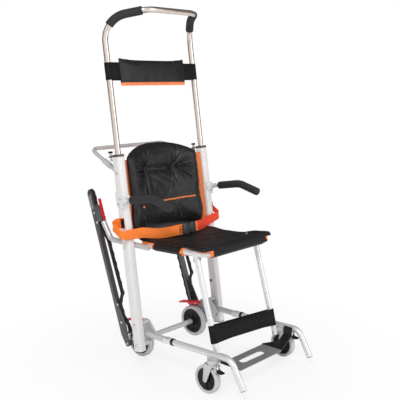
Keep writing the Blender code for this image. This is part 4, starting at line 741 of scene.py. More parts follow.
def inflated(node, cap, held, voxel, reshape=None):
    """A padded piece from a CAD node: remeshed, swollen by Cloth with pressure, and subdivided once.

    No point moves further than cap, and none that held names. Reshape moves the node's own points first.
    """
    start, scene = from_bmesh(node_copy(node)), bpy.context.scene
    if reshape is not None:
        shifted(start, reshape(coords(start)))
    obj = linked("padding", start)
    remesh = obj.modifiers.new("grid", "REMESH")
    remesh.mode = "VOXEL"
    remesh.voxel_size = voxel
    obj = linked("padding", settled(obj))
    rest = coords(obj.data)
    group = obj.vertex_groups.new(name="held")
    group.add([int(i) for i in np.nonzero(held(rest))[0]], 1.0, "REPLACE")
    cloth = obj.modifiers.new("cloth", "CLOTH")
    cloth.settings.use_pressure = True
    cloth.settings.uniform_pressure_force = scene.chair_sizes.pressure
    cloth.settings.effector_weights.gravity = 0.0
    cloth.settings.vertex_group_mass = "held"
    cloth.settings.quality = 5
    cloth.point_cache.frame_start = 1
    cloth.point_cache.frame_end = CLOTH_FRAMES
    for step in range(1, CLOTH_FRAMES + 1):
        scene.frame_set(step)
    view = bpy.context.evaluated_depsgraph_get()
    swollen = bpy.data.meshes.new_from_object(obj.evaluated_get(view))
    move = coords(swollen) - rest
    size = np.linalg.norm(move, axis=1, keepdims=True)
    rest = rest + move * np.minimum(1.0, cap / np.maximum(size, 1e-9))
    bpy.data.meshes.remove(swollen)
    obj.modifiers.clear()
    obj.vertex_groups.clear()
    scene.frame_set(1)
    obj.data.vertices.foreach_set("co", rest.ravel())
    smooth = obj.modifiers.new("even", "SMOOTH")
    smooth.factor = 0.5
    smooth.iterations = 4
    fine = obj.modifiers.new("fine", "SUBSURF")
    fine.levels = fine.render_levels = 1
    return settled(obj)


def shifted(mesh, points):
    """A mesh with its points put elsewhere."""
    mesh.vertices.foreach_set("co", np.asarray(points, float).ravel())
    mesh.update()
    return mesh


def in_frame(matrix, points):
    """Points of the chair in one of the leaning frames."""
    turn = np.array(matrix.inverted())
    return points @ turn[:3, :3].T + turn[:3, 3]


def out_of_frame(matrix, points):
    """Points of one of the leaning frames on the chair."""
    turn = np.array(matrix)
    return points @ turn[:3, :3].T + turn[:3, 3]


def fade(value, low, high):
    """A smooth step from 0 at low to 1 at high."""
    t = np.clip((value - low) / (high - low), 0, 1)
    return t * t * (3 - 2 * t)


def seen_ray(tree):
    """A mask for rays that show the background: from the camera or through glass."""
    path = add(tree, "ShaderNodeLightPath")
    return add(
        tree, "ShaderNodeMath", {0: path.outputs["Is Camera Ray"], 1: path.outputs["Is Transmission Ray"]},
        operation="MAXIMUM",
    ).outputs[0]


class CHAIR_OT_stage(bpy.types.Operator):
    """Camera at the photograph's angle, soft lights and a pale floor"""

    bl_idname = "chair.stage"
    bl_label = "Stage"

    # The camera that was fitted to the photograph
    lens_mm, sensor_mm = 62.73, 36.0
    place = Vector((-1.86013, -1.79204 + FLOOR_SHIFT, 1.05063))
    turn, pitch = -0.82879, math.radians(10.013)
    # Area lamps: name, place, size and power; all point at the middle of the chair
    lamps = (
        ("key", (-2.4, -1.6, 2.9), 1.0, 52.0),
        ("fill", (1.2, -3.0, 1.5), 2.6, 30.0),
        ("back", (0.6, 2.6, 2.4), 1.4, 18.0),
    )
    middle = Vector((0, 0, 0.5))

    def execute(self, context):
        scene = context.scene
        scene.view_settings.view_transform = "Standard"
        lens = bpy.data.cameras.new("camera")
        lens.sensor_width = self.sensor_mm
        lens.lens = self.lens_mm
        lens.clip_end = 50.0
        camera = linked("camera", lens)
        camera.location = self.place
        level = math.cos(self.pitch)
        ahead = Vector((-math.sin(self.turn) * level, math.cos(self.turn) * level, -math.sin(self.pitch)))
        camera.rotation_euler = ahead.to_track_quat("-Z", "Y").to_euler()
        scene.camera = camera
        for name, place, size, power in self.lamps:
            lamp = bpy.data.lights.new(name, "AREA")
            lamp.size = size
            lamp.energy = power
            obj = linked(name, lamp)
            obj.location = place
            obj.rotation_euler = (self.middle - Vector(place)).to_track_quat("-Z", "Y").to_euler()
            obj.visible_glossy = name != "back"
        self.make_world(scene)
        self.make_floor()
        return {"FINISHED"}

    def make_world(self, scene):
        """White where it is seen, a soft even light on the object, and a bright front in its reflections."""
        world = bpy.data.worlds.new("studio")
        world.use_nodes = True
        tree = world.node_tree
        tree.nodes.clear()
        light = add(tree, "ShaderNodeBackground", {"Color": (1, 1, 1, 1), "Strength": 0.58})
        white = add(tree, "ShaderNodeBackground", {"Color": (1, 1, 1, 1), "Strength": 1.0})
        way = add(tree, "ShaderNodeTexCoord").outputs["Generated"]
        front = add(tree, "ShaderNodeVectorMath", {0: way, 1: (-0.737, -0.676, 0.2)}, operation="DOT_PRODUCT")
        falling = add(
            tree, "ShaderNodeMapRange",
            {"Value": front.outputs["Value"], "From Min": -0.15, "From Max": 0.85, "To Min": 0.16, "To Max": 1.05},
            interpolation_type="SMOOTHSTEP",
        )
        mirror = add(tree, "ShaderNodeBackground", {"Strength": falling.outputs[0]})
        glossy = add(tree, "ShaderNodeLightPath").outputs["Is Glossy Ray"]
        lit = add(tree, "ShaderNodeMixShader", {0: glossy, 1: light.outputs[0], 2: mirror.outputs[0]})
        mixed = add(
            tree, "ShaderNodeMixShader", {0: seen_ray(tree), 1: lit.outputs[0], 2: white.outputs[0]}
        )
        add(tree, "ShaderNodeOutputWorld", {"Surface": mixed.outputs[0]})
        scene.world = world

    def make_floor(self):
        """A wide pale disc that keeps the shadow near the chair and fades to the white of the world."""
        bm = bmesh.new()
        bmesh.ops.create_circle(bm, cap_ends=True, segments=96, radius=14.0)
        bmesh.ops.translate(bm, verts=bm.verts, vec=(0, 0, CAD_BOX[0].z - 0.5 * MM))
        material = bpy.data.materials.new("pale floor")
        material.use_nodes = True
        tree = material.node_tree
        tree.nodes.clear()
        place = add(tree, "ShaderNodeTexCoord")
        far = add(tree, "ShaderNodeVectorMath", {0: place.outputs["Object"]}, operation="LENGTH")
        fading = add(
            tree, "ShaderNodeMapRange", {"Value": far.outputs["Value"], "From Min": 0.35, "From Max": 0.95},
            interpolation_type="SMOOTHSTEP",
        )
        lifted = add(tree, "ShaderNodeMapRange", {"Value": fading.outputs[0], "To Min": 0.78, "To Max": 1.0})
        mask = add(tree, "ShaderNodeMath", {0: lifted.outputs[0], 1: seen_ray(tree)}, operation="MULTIPLY")
        paint = add(tree, "ShaderNodeBsdfDiffuse", {"Color": (*linear("#F6F6F6"), 1)})
        glow = add(tree, "ShaderNodeEmission", {"Strength": 1.0})
        mixed = add(
            tree, "ShaderNodeMixShader", {0: mask.outputs[0], 1: paint.outputs[0], 2: glow.outputs[0]}
        )
        add(tree, "ShaderNodeOutputMaterial", {"Surface": mixed.outputs[0]})
        placed("floor", from_bmesh(bm), material)


class CHAIR_OT_frame(bpy.types.Operator):
    """Posts with collars, plungers and foot caps, seat rails, hinge stubs and axle plates"""

    bl_idname = "chair.frame"
    bl_label = "Frame"

    rail = 0.010

    def execute(self, context):
        coat, black, grey = finish("powder coated aluminium"), finish("moulded nylon"), finish("anodised aluminium")
        y, z = SEAT_PIVOT.y, SEAT_PIVOT.z
        for side, sign in SIDES:
            refined(f"{side}_post", coat, 0.5 * MM)
            refined(f"{side}_post_collar", finish("black anodised rail"), 0.4 * MM)
            refined(f"{side}_axle_plate", grey)
            refined(f"{side}_arm_bracket", coat, 0.8 * MM)
            refined(f"{side}_base_stub", grey, 0.5 * MM)
            self.plunger(side, sign)
            self.foot_cap(side, sign, black)
            x = sign * (POST_INNER - GAP - self.rail)
            route = rounded_path([(x, y - 0.011, z), (x, y + 0.195, z), (x, y + 0.237, z + 0.062)], [0.030])
            bar = tube(f"{side}_rail_tube", [route], self.rail, grey)
            dressed(bar, "frame", f"{side}_seat_rail", slot="grey_tube")
        return {"FINISHED"}

    def plunger(self, side, sign):
        """Spring plunger behind each post top: a plated stem and a black cap."""
        reach, low = POST_DEPTH / 2 + 0.0215, POST_TOP + GAP
        top, stop = low + 0.0054 + GAP, low - 0.0083
        stem = [
            (stop - 0.005, 0.0), (stop - 0.005, 0.0040), (stop - 0.0045, 0.0045), (stop, 0.0045), (stop, 0.0028),
            (top, 0.0028), (top, 0.0045), (top + 0.0098, 0.0045), (top + 0.0098, 0.0),
        ]
        cap = [
            (top + 0.0100, 0.0), (top + 0.0100, 0.0076), (top + 0.0108, 0.0085), (top + 0.0145, 0.0085),
            (top + 0.0162, 0.0074), (top + 0.017, 0.0050), (top + 0.017, 0.0),
        ]
        spot = POST @ Matrix.Translation((sign * POST_X, reach, 0))
        pieces = (("stem", stem, "zinc plate", "silver_zinc"), ("cap", cap, "moulded nylon", "black_plastic"))
        for label, profile, surface, slot in pieces:
            part = turned(f"{side}_plunger_{label}", profile, spot, finish(surface), segments=36, axis="Z")
            dressed(part, f"{side}_plunger_body", f"{side}_plunger", slot=slot)

    def foot_cap(self, side, sign, material):
        """Plug in the open foot of a post, with a lip."""
        bm = bmesh.new()
        rings = []
        # Inset from the post's outside and height over its end, in mm
        for inset, up in ((2.9, 9.0), (2.9, -0.15), (0.2, -0.15), (0.0, -0.6), (0.0, -2.4), (1.2, -3.6)):
            ring = []
            for sx, sy, start in ((1, 1, 0), (-1, 1, 90), (-1, -1, 180), (1, -1, 270)):
                corner = max(POST_CORNER - inset * MM, 1.5 * MM)
                centre = (
                    sx * (POST_WIDTH / 2 - inset * MM - corner), sy * (POST_DEPTH / 2 - inset * MM - corner)
                )
                ring += [
                    bm.verts.new((sign * POST_X + px, py, POST_FOOT + up * MM))
                    for px, py in arc(centre, corner, start, start + 90, 6)
                ]
            rings.append(ring)
        for a, b in zip(rings, rings[1:]):
            for i in range(len(a)):
                j = (i + 1) % len(a)
                bm.faces.new((a[i], a[j], b[j], b[i]))
        bm.faces.new(rings[0])
        bm.faces.new(rings[-1])
        bm.transform(POST)
        dressed(placed(f"{side}_post_cap", from_bmesh(bm), material), "frame", slot="black_plastic")


class CHAIR_OT_handle(bpy.types.Operator):
    """Telescopic handle with foam grips, head strap and head pad"""

    bl_idname = "chair.handle"
    bl_label = "Handle"

    # Tube radius and its length inside the posts; the grips' start along the posts, length and foam
    radius, inserted = 0.0105, 0.115
    grip_start, grip_length, sponge = 1.2455, 0.135, 4.5 * MM
    # The pad sits off the middle, as photographed
    pad_bottom, pad_offset, pad_half = 1.027, 0.013, 0.160
    strap_low, strap_height = 1.050, 0.062

    def execute(self, context):
        foot = POST_TOP - self.inserted
        side = [(POST_X, 0, foot), (POST_X, 0, 1.268), (0.118, -0.132, 1.280)]
        corners = on(POST, side + [(-a, b, c) for a, b, c in reversed(side)])
        route = rounded_path(corners, [0.090, 0.060, 0.060, 0.090], 20)
        metal = finish("satin plated tube")
        dressed(tube("handle_bar", [route], self.radius, metal), "handle", "handle_tube", slot="satin_steel")
        start = self.grip_start - foot
        total = path_length(route)
        for name, begin in (("left", start), ("right", total - start - self.grip_length)):
            foam = tube(
                f"{name}_foam_grip", [path_part(route, begin, self.grip_length)], self.radius + GAP + self.sponge,
                finish("sponge foam"), rim=2.2 * MM,
            )
            dressed(foam, "handle", f"{name}_grip", slot="black_foam")
        self.head_strap()
        self.head_pad()
        return {"FINISHED"}

    def head_strap(self):
        """A loop of webbing round both uprights, hemmed where it closes behind the pad."""
        reach = self.radius + GAP + WEBBING / 2
        middle = self.strap_low + self.strap_height / 2
        flat = arc((POST_X, 0), reach, -90, 90, 14) + arc((-POST_X, 0), reach, 90, 270, 14)
        route = on(POST, [(x, y, middle) for x, y in flat])
        band = strap("head_band", route, self.strap_height, POST_UP, finish("black webbing"), closed=True)
        dressed(band, "handle", "head_strap", slot="black_nylon")
        rows, outs = [], []
        for up_by in (3.5, 58.5):
            for sign in (1, -1):
                xs = [sign * (0.218 - 0.004 * i) for i in range(11)]
                rows.append(on(POST, [(x, -reach - WEBBING / 2, self.strap_low + up_by * MM) for x in xs]))
                outs += [-POST_BACK] * len(xs)
        dressed(stitches("head_band_stitches", rows, outs), "handle")

    def head_pad(self):
        """Padded sleeve with a dipped top edge, pointed corners and an orange lip below."""
        lip_top = self.pad_bottom + 0.0125
        low = -(self.radius + GAP + WEBBING)

        def held(points):
            own = in_frame(POST, points)
            return (own[:, 1] > low - 1.5 * MM) | (np.abs(own[:, 0] + self.pad_offset) > self.pad_half)

        mesh = inflated("head_pad", 3.5 * MM, held, 3.2 * MM)
        own = in_frame(POST, coords(mesh))
        across, up = own[:, 0] + self.pad_offset, own[:, 2]
        front = own[:, 1] < low - 0.5 * MM
        lip = front * (1 - fade(up, lip_top - 0.6 * MM, lip_top + 0.6 * MM))
        own[:, 1] += lip * np.minimum(4.0 * MM, np.maximum(low - 1.0 * MM - own[:, 1], 0))
        seam = np.exp(-(((np.abs(across) - 0.1585) / (1.2 * MM)) ** 2))
        seam = np.maximum(seam, np.exp(-(((up - lip_top - 4.0 * MM) / (1.2 * MM)) ** 2)))
        pull = np.sin(across * 95 + 2 * np.sin(across * 23)) * np.exp(-((up - lip_top) / 0.022) ** 2)
        own[:, 1] += front * (seam * 0.9 * MM + pull * 0.7 * MM)
        shifted(mesh, out_of_frame(POST, own))
        base = POST @ Vector((0, 0, lip_top))

        def lip_zone(tree, place):
            height = add(
                tree, "ShaderNodeVectorMath", {0: place.outputs["Object"], 1: tuple(POST_UP)}, operation="DOT_PRODUCT"
            )
            return add(
                tree, "ShaderNodeMath", {0: height.outputs["Value"], 1: base.dot(POST_UP)}, operation="LESS_THAN"
            ).outputs[0]

        pad = placed("head_pad_cover", mesh, finish("coated nylon", ("orange lip", lip_zone), "sling"), 60)
        dressed(pad, "handle", "head_pad", slot="black_nylon")


class CHAIR_OT_bail(bpy.types.Operator):
    """Carry bail behind the posts, with its locking sleeves and pivots"""

    bl_idname = "chair.bail"
    bl_label = "Rear bail"

    pivot_back, pivot_up = POST_DEPTH / 2 + 0.0188, 0.7166

    def execute(self, context):
        grey, radius = finish("anodised aluminium"), 0.0075
        pivot = Vector((POST_INNER - GAP - radius, self.pivot_back, self.pivot_up))
        corner = pivot + Vector((0, 0.143, 0.099))
        along = (corner - pivot).normalized()
        heel, flip = pivot - along * radius, Vector((-1, 1, 1))
        hoop = rounded_path(on(POST, [heel, corner, corner * flip, heel * flip]), [0.032, 0.032], 14)
        parts = [tube("hoop", [hoop], radius, grey)]
        for sign in (1, -1):
            side = Vector((sign, 1, 1))
            sleeve = on(POST, [(pivot + along * 0.048) * side, (pivot + along * 0.090) * side])
            parts.append(tube("sleeve", [sleeve], 0.0105, grey, rim=1.2 * MM))
            pin = on(POST, [pivot * side, Vector((POST_INNER + 0.007, pivot.y, pivot.z)) * side])
            parts.append(tube("pin", [pin], 0.0035, grey, rim=0.4 * MM))
        dressed(fused("bail_hoop", parts), "bail", "rear_bail", slot="grey_tube")
        return {"FINISHED"}


class CHAIR_OT_arms(bpy.types.Operator):
    """Folding armrests: tongue and tube, with a foam sleeve closed at its tip"""

    bl_idname = "chair.arms"
    bl_label = "Armrests"

    # The stretch from the pivot without foam, the foam's radius, and what the foam stops short of the tip
    bare, foam_radius, short = 0.0185, 0.0148, 0.2 * MM

    def execute(self, context):
        for side, _ in SIDES:
            refined(f"{side}_arm_tube", finish("anodised aluminium"), 0.4 * MM)
            centre = Vector(JOINTS[f"{side}_arm_fold"]["pos_m"])
            elbow, tip = centre + Vector((0, -0.130, 0.022)), centre + Vector((0, -0.222, -0.002))
            route = rounded_path([centre + Vector((0, -0.006, 0.001)), elbow, tip], [0.085], 14)
            sleeve = path_part(route, self.bare, path_length(route) - self.bare - self.short)
            foam = tube(f"{side}_arm_foam", [sleeve], self.foam_radius, finish("sponge foam"), rim=5.0 * MM)
            dressed(foam, f"{side}_arm", f"{side}_arm_pad", slot="black_foam")
        return {"FINISHED"}


class CHAIR_OT_back(bpy.types.Operator):
    """Orange back sling and the tufted back cushion with its pocket"""

    bl_idname = "chair.back"
    bl_label = "Back"

    edge = POST_INNER - GAP
    bottom = 0.482
    tuft_x, tuft_up, pocket_up = 0.073, 0.233, 0.109

    def sling_y(self, x):
        """How far back the sling hangs at x, in the posts' frame."""
        return -0.006 + 0.060 * (1 - (x / self.edge) ** 2)

    def execute(self, context):
        self.sling()
        self.cushion()
        self.pocket()
        return {"FINISHED"}

    def sling(self):
        """One sheet hung between the posts, with a rolled hem at the top and bottom."""
        low, high, columns, rows = 0.478, 0.761, 64, 26
        bm = bmesh.new()
        grid = []
        for thick in (-2.5 * MM, 0.0):
            face = []
            for i in range(columns + 1):
                x = (2 * i / columns - 1) * self.edge
                face.append([])
                for j in range(rows + 1):
                    up = low + (high - low) * j / rows
                    slack = 1.2 * MM * math.sin(x * 41 + 5 * up) * math.sin(math.pi * j / rows)
                    roll = thick + (1.2 * MM if thick == 0.0 and j in (0, rows) else 0.0)
                    face[-1].append(bm.verts.new((x, self.sling_y(x) + roll + max(slack, 0) * 0.6, up)))
            grid.append(face)
        for face in grid:
            for i in range(columns):
                for j in range(rows):
                    bm.faces.new((face[i][j], face[i + 1][j], face[i + 1][j + 1], face[i][j + 1]))
        rim = [(i, 0) for i in range(columns)] + [(columns, j) for j in range(rows)]
        rim += [(i, rows) for i in range(columns, 0, -1)] + [(0, j) for j in range(rows, 0, -1)]
        for (i, j), (k, m) in zip(rim, rim[1:] + rim[:1]):
            bm.faces.new((grid[0][i][j], grid[0][k][m], grid[1][k][m], grid[1][i][j]))
        bm.transform(POST)
        sling = placed("back_sheet", from_bmesh(bm), finish("orange cloth"), 50)
        dressed(sling, "frame", "back_sling", slot="orange_webbing")
        xs = [(2 * i / columns - 1) * self.edge for i in range(columns + 1)]
        paths, outs = [], []
        for up in (low + 0.016, high - 0.016):
            paths.append(on(POST, [(x, self.sling_y(x) + 1.0 * MM, up) for x in xs]))
            outs += [POST_BACK] * len(xs)
        for x in (-self.edge + 0.012, self.edge - 0.012):
            ups = [low + 0.016 + (high - low - 0.032) * i / 20 for i in range(21)]
            paths.append(on(POST, [(x, self.sling_y(x) + 0.8 * MM, up) for up in ups]))
            outs += [POST_BACK] * len(ups)
        dressed(stitches("back_sheet_stitches", paths, outs), "frame")

    def creases(self, x, up):
        """Depth of the pleats that run out from the two tufts, and of the lens between them."""
        depth = np.zeros_like(x)
        # Side of each tuft, then its pleats: angle in degrees and reach in mm
        fans = (
            (-1, ((148, 88), (163, 96), (177, 98), (191, 98), (206, 96), (224, 118), (243, 122), (262, 110),
                  (80, 92), (106, 84), (128, 80))),
            (1, ((34, 86), (19, 96), (5, 98), (-9, 100), (-24, 98), (-40, 112), (-58, 86), (-118, 122),
                 (-92, 70), (98, 90), (74, 88), (54, 84))),
        )
        for sign, rays in fans:
            for degrees, reach in rays:
                turn, run = math.radians(degrees), reach * MM
                dx, dz = x - sign * self.tuft_x, up - self.tuft_up
                along = dx * math.cos(turn) + dz * math.sin(turn)
                off = dz * math.cos(turn) - dx * math.sin(turn)
                bow = 5.0 * MM * np.sin(np.clip(along / run, 0, 1) * math.pi) * math.sin(degrees * 7.0)
                width = 2.2 * MM + 0.040 * np.clip(along, 0, None)
                strength = fade(along, 4 * MM, 16 * MM) * (1 - fade(along, run * 0.45, run))
                near = ((off - bow) / width) ** 2
                depth += strength * 6.2 * MM * (1 - 0.7 * near) * np.exp(-near)
        inside = np.clip(1 - (x / self.tuft_x) ** 2, 0, None)
        for rise in (15.0, -13.0):
            line = self.tuft_up + rise * MM * inside
            depth += 4.0 * MM * (inside > 0) * np.exp(-(((up - line) / (3.6 * MM)) ** 2)) * fade(inside, 0.02, 0.3)
        ridge = 7.0 * MM * inside * np.exp(-(((up - self.tuft_up) / (9.0 * MM)) ** 2))
        return depth - ridge

    def cushion(self):
        """The inflated pad with pleats from two tufts over a plainer lower half."""

        def held(points):
            own = in_frame(POST, points)
            on_sheet = own[:, 1] > self.sling_y(own[:, 0]) - 9.0 * MM
            tufts = np.min(
                [np.hypot(own[:, 0] - s * self.tuft_x, own[:, 2] - self.bottom - self.tuft_up) for s in (1, -1)], axis=0
            )
            return on_sheet | (tufts < 9.0 * MM)

        mesh = inflated("back_cushion", 6.0 * MM, held, 5.0 * MM)
        own = in_frame(POST, coords(mesh))
        x, up = own[:, 0], own[:, 2] - self.bottom
        off_sheet = fade(self.sling_y(x) - own[:, 1], 9.0 * MM, 20.0 * MM)
        slack = 0.9 * MM * np.sin(x * 60 + 6 * np.sin(up * 31)) * np.sin(up * 46 + 3 * np.sin(x * 19))
        pocket = np.exp(-(((up - self.pocket_up) / (1.8 * MM)) ** 2)) * 1.6 * MM
        tuck = 8.0 * MM * np.exp(-(((x + 0.150) / 0.022) ** 2) - ((up - 0.128) / 0.020) ** 2)
        folds = np.zeros_like(x)
        for at, low, high in ((0.067, 0.030, 0.100), (-0.126, 0.022, 0.076)):
            beside = (x - at + 0.12 * (up - low)) / (6.0 * MM)
            window = fade(up, low, low + 0.022) * (1 - fade(up, high - 0.022, high))
            folds += window * MM * (1.8 * np.exp(-((beside - 1.6) ** 2)) - 3.2 * np.exp(-(beside**2)))
        own[:, 1] += off_sheet * (self.creases(x, up) + slack + pocket + tuck + folds)
        bulge = 6.0 * MM * np.exp(-(((up - 0.055) / 0.030) ** 2)) - 4.0 * MM * np.exp(-(((up - 0.130) / 0.028) ** 2))
        corner = 16.0 * MM * np.clip(1 - up / 0.040, 0, 1) ** 2 * (x > 0)
        own[:, 0] += np.sign(x) * fade(np.abs(x), 0.10, 0.16) * (bulge - corner)
        shifted(mesh, out_of_frame(POST, own))
        pad = placed("back_pad", mesh, finish("coated nylon"), 80)
        dressed(pad, "frame", "back_cushion", slot="black_nylon")

    def on_pad(self, x, up):
        """The place on the cushion's front at (x, up), and the way it faces."""
        ahead = POST @ Vector((x, -0.2, self.bottom + up))
        hit, place, normal, _ = bpy.data.objects["back_pad"].ray_cast(ahead, POST_BACK)
        if not hit:
            raise RuntimeError(f"nothing of the back cushion at {x}, {up}")
        return place, normal

    def pocket(self):
        """Buttons in the tufts, the pocket's orange piping and an orange stud."""
        bpy.context.view_layer.update()
        black, orange = finish("coated nylon"), finish("orange cloth")
        dome = [(-2.0, 0.0), (-2.0, 6.0), (0.2, 6.5), (1.8, 5.4), (2.8, 3.0), (3.1, 0.0)]
        for side, sign in SIDES:
            spot = facing(*self.on_pad(sign * self.tuft_x, self.tuft_up))
            button = turned(f"{side}_tuft_button", in_mm(dome), spot, black, segments=28, axis="Z", angle=60)
            dressed(button, "frame", slot="black_nylon")
        radius = bpy.context.scene.chair_sizes.piping
        route = []
        for i in range(41):
            place, normal = self.on_pad(-0.024 + 0.166 * i / 40, self.pocket_up)
            route.append(place + normal * radius * 0.3)
        dressed(tube("pocket_piping", [route], radius, orange, rim=1.2 * MM), "frame", slot="orange_webbing")
        small = in_mm([(a * 0.75, r * 0.75) for a, r in dome])
        spot = facing(*self.on_pad(-0.134, 0.099))
        stud = turned("pocket_stud", small, spot, orange, segments=24, axis="Z", angle=60)
        dressed(stud, "frame", slot="orange_webbing")


class CHAIR_OT_lap_belt(bpy.types.Operator):
    """Lap belt of orange webbing with its side-release buckle"""

    bl_idname = "chair.lap_belt"
    bl_label = "Lap belt"

    width = 0.038
    height = 0.4965
    slack, droop, forward = 0.026, 0.013, 0.078
    # Sag of each side's loop and the share of its width that folds away, as photographed
    hang = {"left": (0.010, 0.42), "right": (0.0, 0.24)}

    def route(self, sag):
        """The strap's loose loop on a post's outer face, and its lead to the buckle."""
        clear = GAP + WEBBING / 2 + 0.6 * MM
        face, outer, front = POST_OUTER + clear, POST_OUTER + self.slack, -POST_DEPTH / 2 - clear
        rear, rise, end = POST_DEPTH / 2 + 0.005, 0.040, 0.033 + GAP
        corners = [
            (face, -0.012, self.height + rise), (face, rear, self.height + rise),
            (outer + 0.004, rear, self.height + rise * 0.9),
            (outer + 0.003, front - 0.004, self.height - rise * 0.05 + sag * 0.3),
            (POST_INNER - 0.030, front - 0.012, self.height - self.droop * 0.3 - sag),
        ]
        loop = rounded_path(corners, [0.0125, 0.0125, 0.020], 12)
        low = self.height - self.droop
        lead = [
            loop[-1], Vector((POST_INNER * 0.58, front - self.forward * 0.62, self.height - self.droop * 1.15)),
            Vector((end + 0.020, front - self.forward, low)), Vector((end, front - self.forward, low)),
        ]
        ends = [2 * lead[0] - lead[1]] + lead + [2 * lead[-1] - lead[-2]]
        curve, steps = [], 12
        for p0, p1, p2, p3 in zip(ends, ends[1:], ends[2:], ends[3:]):
            for i in range(steps):
                t = i / steps
                near = 2 * p1 + (p2 - p0) * t + (2 * p0 - 5 * p1 + 4 * p2 - p3) * t**2
                curve.append(0.5 * (near + (3 * p1 - p0 - 3 * p2 + p3) * t**3))
        return loop[:-1] + curve[:3], curve[2:] + [lead[-1]]

    def execute(self, context):
        black = finish("black webbing")
        for side, sign in SIDES:
            sag, fold = self.hang[side]
            loop, lead = self.route(sag)
            anchor = POST @ Vector((0, lead[0].y, self.height))
            # The far strap takes the darker, redder copy of the orange webbing as painted shade.
            orange = finish("orange webbing in shade" if sign > 0 else "orange webbing")
            span = POST_OUTER + self.slack - loop[0].x
            for label, points in (("loop", loop), ("lead", lead)):
                path = on(POST, [(sign * p.x, p.y, p.z) for p in points])
                off = [min(1.0, max(0.0, (p.x - loop[0].x) / span)) for p in points]
                narrow = [1 - fold * s * s * (3 - 2 * s) for s in off]
                belt = strap(f"{side}_belt_{label}", path, self.width, POST_UP, orange, narrow=narrow)
                dressed(belt, "frame", f"{side}_lap_belt", slot="orange_webbing")
                if label == "lead":
                    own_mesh(belt)
            # A black webbing patch on the post's outer face, where the loop starts.
            first = loop[0]
            patch = on(POST, [(sign * (first.x + 1.8 * MM), first.y + 4 * MM * i - 1 * MM, first.z) for i in range(5)])
            dark_patch = strap(f"{side}_belt_anchor", patch, self.width * 0.86, POST_UP, black)
            dressed(dark_patch, "frame", f"{side}_lap_belt", slot="orange_webbing")
        buckle = refined("belt_buckle", finish("moulded acetal"), 1.6 * MM)
        buckle.name = "buckle_body"
        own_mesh(buckle)
        self.trim(lead, black, anchor)
        return {"FINISHED"}

    def trim(self, lead, black, anchor):
        """A stitched box by the buckle and the strap's folded tail."""
        end = lead[-1]
        face = end.y - WEBBING / 2
        reach, depth = zip(*sorted((p.x, p.y) for p in lead))
        thread, x0, x1, tall = 1.3 * MM, -0.0385, -0.0495, 0.0125
        ring = [(x0, -tall), (x1, -tall), (x1, 0.0), (x1, tall), (x0, tall), (x0, 0.0)]
        lines = [ring + ring[:1], [(x0, 0.0), ((x0 + x1) / 2, 0.0), (x1, 0.0)]]
        proud = WEBBING / 2 + 0.4 * MM
        paths = [
            on(POST, [(x, float(np.interp(-x, reach, depth)) - proud, end.z + z) for x, z in line]) for line in lines
        ]
        box = dressed(tube("belt_stitches", paths, thread, black, rim=0.3 * MM), "frame")
        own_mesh(box)
        tail = on(POST, [(x, face - 1.8 * MM, end.z) for x in (0.0345, 0.038, 0.042, 0.046)])
        fold = strap("belt_tail", tail, self.width, POST_UP, finish("orange webbing"))
        dressed(fold, "frame", slot="orange_webbing")
        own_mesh(fold)


